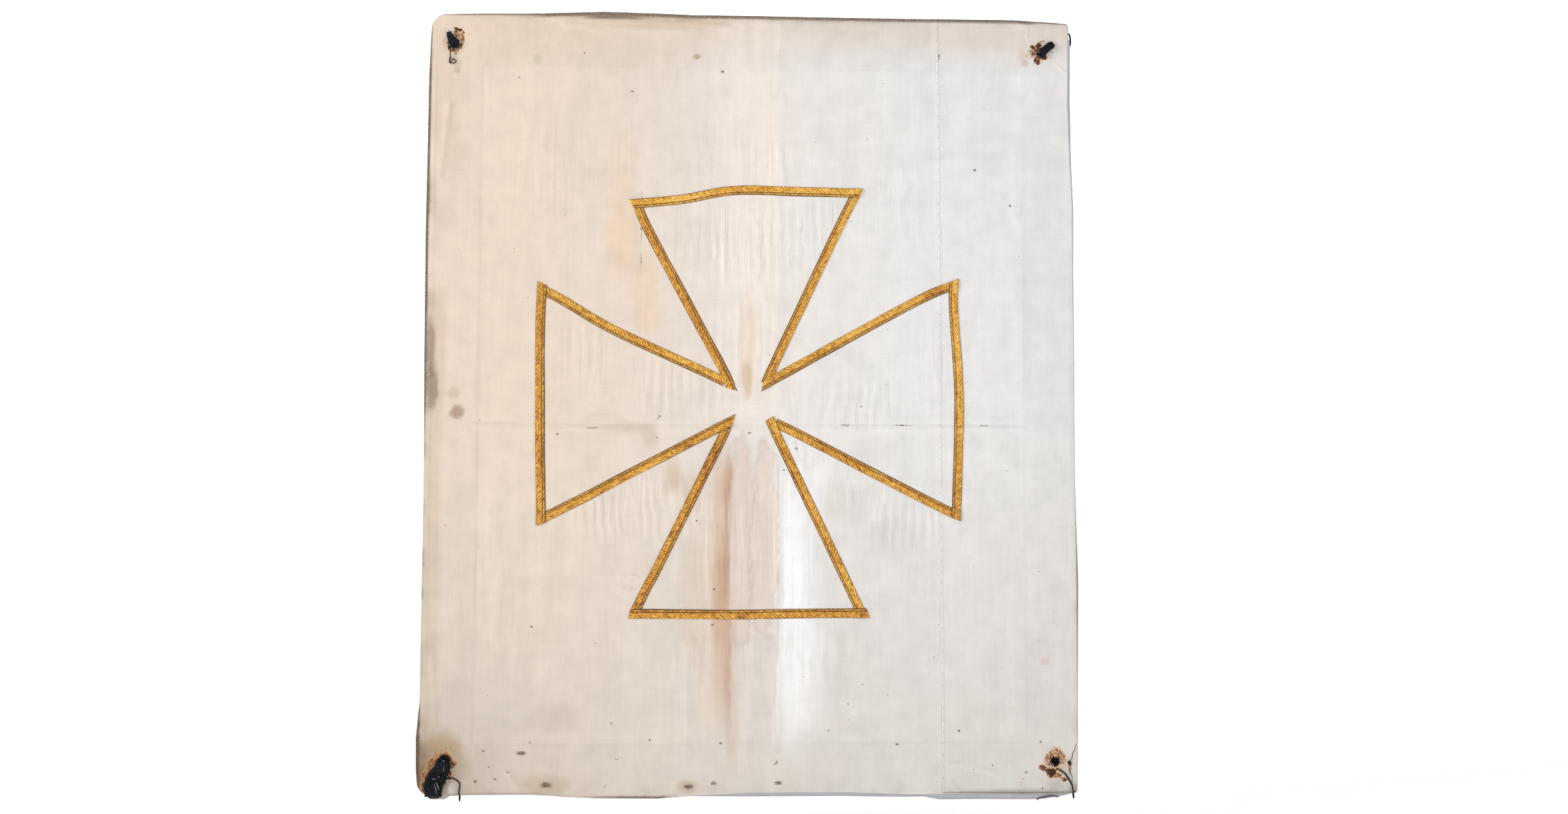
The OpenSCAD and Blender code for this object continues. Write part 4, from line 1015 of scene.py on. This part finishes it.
lace_tops = {}
for name in LACES:
    x, z, s, u, h, lift = lace_surface(name)
    rest = lace_rest(x, z)
    top = np.stack([x, rest - h - lift, z], 2)
    ends = [0, -1]
    under = np.stack([x[:, ends], rest[:, ends] + 0.3 - 0.8 * lift[:, ends], z[:, ends]], 2)
    rows = np.concatenate([top, under[:, ::-1]], axis=1)
    n = rows.shape[1]
    verts = rows.reshape(-1, 3)
    faces = []
    for k in range(len(rows) - 1):
        a = k * n
        faces += [(a + i, a + n + i, a + n + (i + 1) % n, a + (i + 1) % n) for i in range(n)]
    faces += [tuple(range(n)), tuple(range(len(verts) - 1, len(verts) - n - 1, -1))]
    obj = finish_mesh(f"lace_{name}_v", verts, faces, gold_lace, slot="gold_lace", replaces=[f"lace_{name}"])
    across = np.concatenate([u, u[:, ends][:, ::-1]], axis=1).ravel()
    along = np.concatenate([s, s[:, ends][:, ::-1]], axis=1).ravel() + 37 * list(LACES).index(name)
    uv = obj.data.uv_layers.new(name="lace")
    corner = np.zeros(len(obj.data.loops), np.int32)
    obj.data.loops.foreach_get("vertex_index", corner)
    uv.data.foreach_set("uv", np.stack([along[corner], across[corner]], 1).astype(np.float32).ravel())
    vx, vz = verts[:, 0], verts[:, 2]
    dark = 0.75 * ease((16 - np.hypot(vx - 178, vz + 240)) / 12)
    give(obj, "age", LACE_AGE[name] + 0.5 * rough_noise(vx, vz, 30, 350) + dark)
    run = length_of(LACE_LINES[name])
    lace_tops[name] = (x, z, rest - h - lift)


# ---------------------------------------------------------------- stitches

def walk(points, pitch):
    """Places about pitch apart along straight runs, with the way that each run goes"""
    for a, b in zip(points[:-1], points[1:]):
        a, b = np.array(a, float), np.array(b, float)
        run = np.linalg.norm(b - a)
        count = max(0, int(run / pitch))
        for k in range(count):
            yield a + (b - a) * (k + 0.5) / count, (b - a) / run


pile = Pile()
groove = int(np.argmin(abs(SECTION + LACE_GROOVE)))
shuffle = np.random.default_rng(7)
for name, (x, z, y) in lace_tops.items():
    for k in range(12, len(x) - 12, 10):
        ends = [(x[i, groove], y[i, groove] - 0.12, z[i, groove]) for i in (k, k + 4)]
        pile.spindle(*ends, 0.2 + 0.06 * shuffle.random())
pile.mesh("lace_stitches_v", gold_thread, slot="gold_thread", replaces=["lace_stitches"])


def surface_pile(places, length, r, depth, lean, seed):
    """Stitches on the cloth; depth gives the depth of the surface at a point"""
    made, rng = Pile(), np.random.default_rng(seed)
    for p, d in places:
        a = math.atan2(d[1], d[0]) + lean + 0.25 * (rng.random() - 0.5)
        h = 0.5 * length * (0.85 + 0.3 * rng.random())
        ends = [(p[0] + k * h * math.cos(a), p[1] + k * h * math.sin(a)) for k in (-1, 1)]
        made.spindle(*[(q[0], float(depth(np.array([q[0]]), np.array([q[1]]))[0]), q[1]) for q in ends], r)
    return made


def seam_depth(x, z):
    return SILK_Y - swell(x, z) - ripple(x, z) + 0.02


seam_places = [(np.array([float(seam_line(z)) + 1.2, z]), (0.0, -1.0)) for z in np.arange(TOP - 8, BOTTOM + 8, -11.0)
               if min(float(to_line(np.array([183.0]), np.array([z]), line)[0]) for line in LACE_LINES.values()) > 6]
surface_pile(seam_places, 2.2, 0.16, seam_depth, 0.0, 8).mesh(
    "seam_stitches_v", silk_thread, slot="silk_thread", replaces=["seam_stitches"])


def back_depth(x, z):
    return LINING_Y[1] + 0.12 - swell(x, z)


inner, corner, gap = 4.0, 20.0, 40.0
edge_run = [(-HALF_W + inner, BOTTOM + gap), (-HALF_W + inner, TOP - corner), (-HALF_W + corner, TOP - inner),
            (HALF_W - corner, TOP - inner), (HALF_W - inner, TOP - corner), (HALF_W - inner, BOTTOM + corner),
            (HALF_W - corner, BOTTOM + inner), (-HALF_W + gap, BOTTOM + inner)]
surface_pile(walk(edge_run, 8), 3.2, 0.24, back_depth, 0.5, 9).mesh(
    "edge_stitches_v", silk_thread, slot="silk_thread", replaces=["edge_stitches"])


# ---------------------------------------------------------------- eyelets, ties and loose threads

for name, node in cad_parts.items():
    if name.startswith(("eyelet_", "washer_")):
        node.data.materials.clear()
        node.data.materials.append(rusted_iron)


def at(eyelet, points):
    return [(eyelet[0] + x, y, eyelet[1] + z) for x, y, z in points]


def hair(pile, start, reach, r, seed, droop=0.3):
    """A short stray fibre"""
    rng = np.random.default_rng(seed)
    p = [np.array(start, float)]
    for _ in range(3):
        p.append(p[-1] + np.array(reach) / 3 + rng.uniform(-1, 1, 3) * droop * np.linalg.norm(reach) / 3)
    pile.tube(p, r, 4, 0.6, 0.6)


# Frayed silk round the open eyelet and the other three
fray = Pile()
rng = np.random.default_rng(21)
for (ex, ez), count in zip(EYELETS, (9, 5, 7, 34)):
    for k in range(count):
        a = rng.uniform(0, 2 * math.pi)
        tuft = 2.2 if count == 34 and (abs(a - math.pi / 2) < 0.5 or abs(a - 4.2) < 0.45) else 1.1
        reach = -tuft * rng.uniform(0.3, 1.3)
        start = (ex + (HOLE_R + 0.25) * math.cos(a), SILK_Y - 0.12, ez + (HOLE_R + 0.25) * math.sin(a))
        hair(fray, start, (reach * math.cos(a), rng.uniform(-0.3, 0.3), reach * math.sin(a)), 0.19, 500 + k, 0.6)
fray.mesh("silk_fray_v", pale_fray, slot="ivory_silk")

# Top left: a doubled tape leans out of the eyelet beside a shorter one, with a knot at the foot
pile = Pile()
lean = [(0.95, 0, 0.3), (0.95, 0, 0.3)]
pile.tape(at(TOP_LEFT, [(-0.6, 0.6, -0.6), (-0.9, -1.9, -0.8), (-2.0, -2.4, 3), (-4.3, -2.6, 9), (-5.0, -3.1, 11.2),
                        (-4.9, -3.9, 10.9), (-3.6, -4.2, 6.5), (-2.2, -4.4, 1.5), (-1.9, -4.3, -3.2)]),
          lean, 6.2, 1.0, 31, fray=0.06, widths=(0.9, 1, 1, 0.96, 0.62, 0.9, 1, 0.95, 0.7))
pile.tape(at(TOP_LEFT, [(1.8, 0.8, -2), (1.9, -1.7, -2.4), (0.9, -2.4, 1), (-0.5, -2.7, 5.4), (-0.8, -3.4, 6.0),
                        (-0.2, -3.9, 4.6), (0.9, -4.0, 1), (1.8, -3.6, -2.4)]), [(0.95, 0, 0.3), (0.95, 0, 0.3)],
          7.6, 0.9, 32, fray=0.08, widths=(0.5, 0.8, 1, 0.75, 0.4, 0.75, 1, 0.5))
for k, (r, tilt, dx, dz) in enumerate([(2.0, 0.2, -3.4, -3.2), (1.7, 1.1, -3.9, -4.0), (1.8, 2.2, -3.2, -2.4)]):
    ring = [(dx + r * math.cos(a) * math.cos(tilt), -3.9 - 1.2 * math.sin(a), dz + r * math.cos(a) * math.sin(tilt))
            for a in np.linspace(0, 2 * math.pi, 13)]
    pile.tube(at(TOP_LEFT, ring), 0.62, 8, 0.5)
pile.tape(at(TOP_LEFT, [(0, 0.5, 0), (0, 2.4, 0), (2.5, 3.0, -1.4), (8.4, 3.1, -3.8)]), [(0.4, 0, 1), (0.4, 0, 1)],
          5.6, 1.1, 33, tip=2, fray=0.1)
pile.tape(at(TOP_LEFT, [(0, 1.0, 0), (0, 3.4, 0.4), (-3.5, 4.0, 1.2), (-9.4, 4.0, 2.6)]), [(0.2, 0, 1), (0.2, 0, 1)],
          5.4, 1.0, 34, tip=2, fray=0.1)
for k in range(9):
    a = rng.uniform(0.6, math.pi)
    hair(pile, (TOP_LEFT[0] - 4.9 + 2.2 * math.cos(a), -3.4, 10.8 + 1.2 * math.sin(a)),
         (1.3 * math.cos(a), -0.3, 1.5 * abs(math.sin(a)) - 0.3), 0.1, 600 + k, 0.6)
pile.mesh("tie_top_left_v", black_tape, body="top_left_tie", slot="black_tape", replaces=["tie_top_left"])
# A pale thread on the knot is a painted glint.
glint = Pile()
glint.tube(at(TOP_LEFT, [(-4.4, -5.2, -2.2), (-3.4, -5.5, -2.7), (-2.4, -5.3, -3.4)]), 0.28, 6, 0.4, 0.5)
glint.mesh("tie_top_left_painted_glint_v", painted_glint_thread, body="top_left_tie", slot="black_tape")

pivot = (TOP_LEFT[0] - 3.2, -5.5)
pile = Pile()
tail_y = -3.2
for route, r in (([(0, 0.6), (0.1, -2), (-0.15, -5), (0.1, -7.4), (-0.5, -9.6), (-0.8, -12.2), (-0.2, -14.2),
                   (0.9, -13.6), (0.5, -11.4), (-0.3, -9.4)], 0.5),
                 ([(0.1, -7.0), (0.9, -9.3), (2.4, -10.2), (4.2, -10.6), (5.8, -12), (5.0, -13.7), (3.2, -14.4),
                   (1.4, -14.2), (0.2, -13.2), (1.4, -11.6), (3.4, -10.8)], 0.42)):
    pile.tube([(pivot[0] + x, tail_y - 0.25 * math.sin(3 * k), pivot[1] + z) for k, (x, z) in enumerate(route)],
              r, 8, 0.5, 0.3)
pile.mesh("thread_tail_top_left_v", black_thread, body="top_left_tail", slot="black_thread",
          replaces=["thread_tail_top_left"])

# Top right: a ribbed strap folded through the eyelet, with its back loop past the edge
pile = Pile()
slope = [(-0.6, 0, 0.8), (-0.6, 0, 0.8)]
pile.tape(at(TOP_RIGHT, [(0.6, 0.5, -0.8), (0.9, -1.9, -1.8), (3, -2.4, 1.4), (8.6, -2.5, 5.8), (11.8, -2.8, 8.4),
                         (12.2, -3.6, 8.7), (8.6, -4.1, 6.0), (4, -4.2, 2.4), (1.6, -4.1, -0.8), (0.8, -3.4, -2.2),
                         (0.6, -2.2, -2.6)]), slope, 7.6, 1.15, 41, rib=1.5, fray=0.05,
          widths=(0.7, 0.9, 1, 1, 0.7, 0.7, 1, 1, 1, 0.85, 0.6))
pile.tape(at(TOP_RIGHT, [(-1.6, 0.6, -1.2), (-1.4, -1.8, -2.8), (0.4, -2.6, -4.2), (2.0, -3.0, -3.8)]),
          [(1, 0, -0.4), (1, 0, -0.4)], 3.0, 1.0, 42, fray=0.1)
loop = [(0.5, 0.6, 0), (0.6, 2.6, 0.4), (6, 3.3, 2.2), (16, 3.3, 4.5), (26, 3.2, 6.6), (30.6, 3.3, 9), (31.1, 3.3, 15),
        (29.8, 3.3, 20.8), (25.5, 3.3, 21), (19, 3.4, 15.5), (10, 3.4, 9), (1.5, 3.0, 3.6), (0.4, 1.2, 1.2)]
pile.tape(at(TOP_RIGHT, loop), [(0, 1, 0.3), (0, 1, 0.3)], 2.4, 1.5, 43, rib=0.6, fray=0.08)
for k, (x, z, dx, dz) in enumerate([(14.2, 7.6, 2.4, -1.0), (13.6, 5.8, 0.6, -2.2), (10.2, 2.0, 1.6, -2.6),
                                    (11.0, 1.0, -1.4, -1.6), (3, -4.0, 2.0, -1.6), (-1, -4.8, -1.4, -1.8)]):
    hair(pile, (TOP_RIGHT[0] + x, -3.2, z), (dx, 0.2, dz), 0.2, 640 + k, 0.7)
pile.mesh("tie_top_right_v", black_tape, body="top_right_tie", slot="black_tape", replaces=["tie_top_right"])

# Bottom left: tapes lashed round the bottom edge and back through the eyelet
pile, shine = Pile(), Pile()
foot = -33.6
# Each tape: where it crosses the edge, width, depth, and how far it strays
STRANDS = [(-15.4, 5.4, -2.0, 0), (-11.4, 6.2, -2.9, 1), (-7.4, 5.6, -2.5, 2), (-4.2, 5.2, -2.0, 3),
           (-9.6, 5.4, -3.9, 4), (-6.0, 4.4, -3.6, 5), (-12.8, 4.6, -3.5, 6)]
for x, w, y, k in STRANDS:
    off = x + 9.8
    low = foot + 0.05 * off * off
    path = [(0.1 * x, 0.4, 0.5), (off * 0.3 - 0.6, -1.7, 2.5 - 0.5 * k), (off * 0.95 - 1.6, y - 0.4, -4.5),
            (off * 1.3 - 6.2 + 0.8 * math.sin(2 * k), y - 0.5 * math.sin(k), -13), (off * 1.2 - 9.6, y - 0.2, -21.5),
            (x, y, -27.5), (x, y + 0.5, low + 1.8), (x, -0.6, low - 0.3), (x, 1.6, low - 0.2),
            (x, 3.1 - 0.1 * k, low + 2.4), (x * 0.8, 3.3, -26), (x * 0.4, 3.1, -12), (x * 0.1, 2.7, -1), (0, 1.0, 0.5)]
    pile.tape(at(BOTTOM_LEFT, path), [(1, 0, 0.35), (1, 0.1 * (k - 3), 0.2), (1, 0, 0), (1, 0, 0), (1, 0, 0.2)],
              w, 1.3, 50 + k, fray=0.22, step=1.0)
for k in range(12):
    x, top_z = -2.0 - 1.25 * k, -5.0 - 2.6 * (k % 4)
    pile.tube(at(BOTTOM_LEFT, [(x * 0.9 + 3, -4.6, top_z), (x * 1.1 + 1.5 + 1.6 * math.sin(2 * k), -5.2, top_z - 7),
                               (x * 0.9 - 2 * math.sin(k), -5.0, top_z - 13), (x - 1, -4.2, max(top_z - 20, foot + 3))]),
              0.4, 6, 1.2, 0.3)
for k in range(5):
    z = -5 - 5.4 * k
    pile.tube(at(BOTTOM_LEFT, [(4.5 - 1.9 * k, -3.6, z + 1.5), (1 - 1.9 * k, -4.8, z - 0.6),
                               (-4 - 1.9 * k, -5.0, z + 0.8 * (-1) ** k), (-8 - 1.7 * k, -4.8, z - 1.6),
                               (-10.5 - 1.6 * k, -3.4, z - 0.4)]), 0.6, 8, 1.0, 0.4)
for k in range(70):
    a = rng.uniform(-0.3, math.pi + 0.5)
    r = rng.uniform(0.5, 5.0)
    start = (BOTTOM_LEFT[0] - 1.2 + r * math.cos(a), rng.uniform(-3.6, -1.6),
             BOTTOM_LEFT[1] + 0.5 + 0.8 * r * math.sin(a))
    hair(pile, start, (2.2 * math.cos(a), rng.uniform(-0.8, 0.2), 2.4 * abs(math.sin(a)) + 0.4), 0.24, 700 + k, 0.8)
for k in range(60):
    f = rng.uniform(0, 1)
    side = rng.choice((-1, 1))
    x = -1.5 - 10 * f + side * (5 + 14 * f * (1 - f))
    hair(pile, (BOTTOM_LEFT[0] + x, rng.uniform(-3.4, -1.8), BOTTOM_LEFT[1] - 2 - 28 * f),
         (side * rng.uniform(0.6, 2.2), rng.uniform(-0.4, 0.2), rng.uniform(-2.4, 1.5)), 0.22, 780 + k, 0.8)
pile.mesh("tie_bottom_left_v", black_tape, slot="black_tape", replaces=["tie_bottom_left"])
# Pale threads over the tapes are painted glints.
for route in ([(-0.6, -4.9, 2.6), (0.3, -5.2, 1.8), (1.0, -5.0, 0.8)],
              [(0.4, -4.9, -3.6), (0.5, -5.2, -6.0), (0.2, -5.1, -8.2)],
              [(-5.0, -5.7, -12.6), (-4.2, -5.9, -13.3), (-3.2, -5.7, -13.2)],
              [(-6.6, -5.5, -18), (-5.0, -5.6, -22), (-3.4, -5.3, -26)],
              [(-11, -5.4, -14.8), (-8.6, -5.6, -15.4), (-6.2, -5.4, -15.2)],
              [(-8.0, -5.3, -20), (-6.8, -5.4, -25), (-6.2, -5.2, -29)]):
    shine.tube(at(BOTTOM_LEFT, route), 0.24, 6, 0.8, 0.7)
shine.mesh("tie_bottom_left_painted_glint_v", painted_glint_thread, slot="black_tape")

# A wad of black fibres and a scrap of tape fills the bottom right eyelet: a dark mass standing in for the shade inside
# the hole
hole_darkening_wad = Pile()
for k in range(120):
    a, r = rng.uniform(0, 2 * math.pi), 4.3 * math.sqrt(rng.uniform(0, 1))
    hair(hole_darkening_wad, (BOTTOM_RIGHT[0] + r * math.cos(a), rng.uniform(-1.1, 0.6), BOTTOM_RIGHT[1] + r * math.sin(a)),
         (rng.uniform(-2, 2), rng.uniform(-0.3, 0.3), rng.uniform(-2, 2)), 0.42, 860 + k, 0.7)
hole_darkening_wad.tape(at(BOTTOM_RIGHT, [(-2.0, 0.6, 2.8), (-0.5, 0.3, 0.5), (0.8, 0.5, -2.6)]), [(1, 0, 0.4), (1, 0, 0.4)],
         4.6, 0.9, 87, fray=0.2)
hole_darkening_wad.mesh("hole_darkening_wad_bottom_right_v", black_tape, slot="black_tape")

# Threads
for obj, node in ((loop_thread, "thread_loop_bottom_left"), (corner_thread, "corner_thread_bottom_right")):
    obj.data.materials.append(black_thread)
    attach(obj, "banner")
    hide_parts(node)
length_of(loop_path)
length_of(corner_path)
pile = Pile()
pile.tube([(BOTTOM_RIGHT[0] + x, 0.6, BOTTOM - 1.6 + z) for x, z in
           [(-18, -3.4), (-15, -1.4), (-11.5, -0.6), (-8, 0.2), (-4, 0.6), (0, 0.2), (4, -0.6)]], 0.42, 8, 0.8)
pile.mesh("loose_thread_bottom_v", black_thread, slot="black_thread", replaces=["loose_thread_bottom"])
stray = Pile()
for route in ([(1.2, -1.9, -5.6), (4.8, -2.2, -9), (9.2, -2.4, -12.4), (12.6, -2.2, -16.4), (15.4, -2.0, -22)],
              [(20.6, -1.4, 17), (19.4, -1.5, 12), (17.6, -1.5, 8.6), (16.8, -1.5, 4.4), (14.6, -1.7, 0.4), (13.6, -1.7, -4),
               (14.2, -1.7, -9), (16.4, -1.8, -15), (16.8, -1.9, -20)]):
    stray.tube(at(BOTTOM_RIGHT, route), 0.24, 6, 0.8, 0.4)
for k in range(5):
    a = k * 1.25
    stray.tube(at(BOTTOM_RIGHT, [(14 + 1.3 * math.cos(a + b), -1.9 - 0.5 * math.sin(b), -0.8 + 1.3 * math.sin(a + b))
                                 for b in np.linspace(0, 4.4, 8)]), 0.4, 6, 0.4)
stray.mesh("knot_bottom_right_v", black_thread, slot="black_thread")


# ---------------------------------------------------------------- floor and light

FLOOR_Z = -0.775


def stage_part(name, corners, glow):
    """A plain pale panel"""
    m = Shader(name)
    mesh = bpy.data.meshes.new(name)
    mesh.from_pydata(corners, [], [(0, 1, 2, 3)])
    mesh.materials.append(m.finish(Base_Color=(0.9, 0.9, 0.9, 1), Roughness=0.95, Emission_Color=(1, 1, 1, 1),
                                   Emission_Strength=glow))
    put(bpy.data.objects.new(name, mesh))


stage_part("floor", [(-9, -6, FLOOR_Z), (9, -6, FLOOR_Z), (9, 9, FLOOR_Z), (-9, 9, FLOOR_Z)], 0.5)
stage_part("backdrop", [(-9, 9, FLOOR_Z), (9, 9, FLOOR_Z), (9, 9, 6), (-9, 9, 6)], 0.8)


def area_light(name, size, power, spot, target):
    data = bpy.data.lights.new(name, "AREA")
    data.shape = "RECTANGLE"
    data.size, data.size_y = size
    data.energy = power
    lamp = put(bpy.data.objects.new(name, data))
    lamp.location = spot
    away = np.array(target) - np.array(spot)
    lamp.rotation_euler = (math.atan2(math.hypot(away[0], away[1]), -away[2]), 0, math.atan2(-away[0], away[1]))


area_light("key", (0.7, 1.4), 24, (-1.75, -0.8, 0.3), (0, 0, -0.35))
area_light("fill", (1.6, 1.6), 10, (1.5, -1.9, 0.2), (0, 0, -0.35))
world = bpy.data.worlds.new("studio")
world.use_nodes = True
world.node_tree.nodes["Background"].inputs[0].default_value = (1, 1, 1, 1)
world.node_tree.nodes["Background"].inputs[1].default_value = 0.4
scene.world = world
scene.view_settings.view_transform = "Standard"
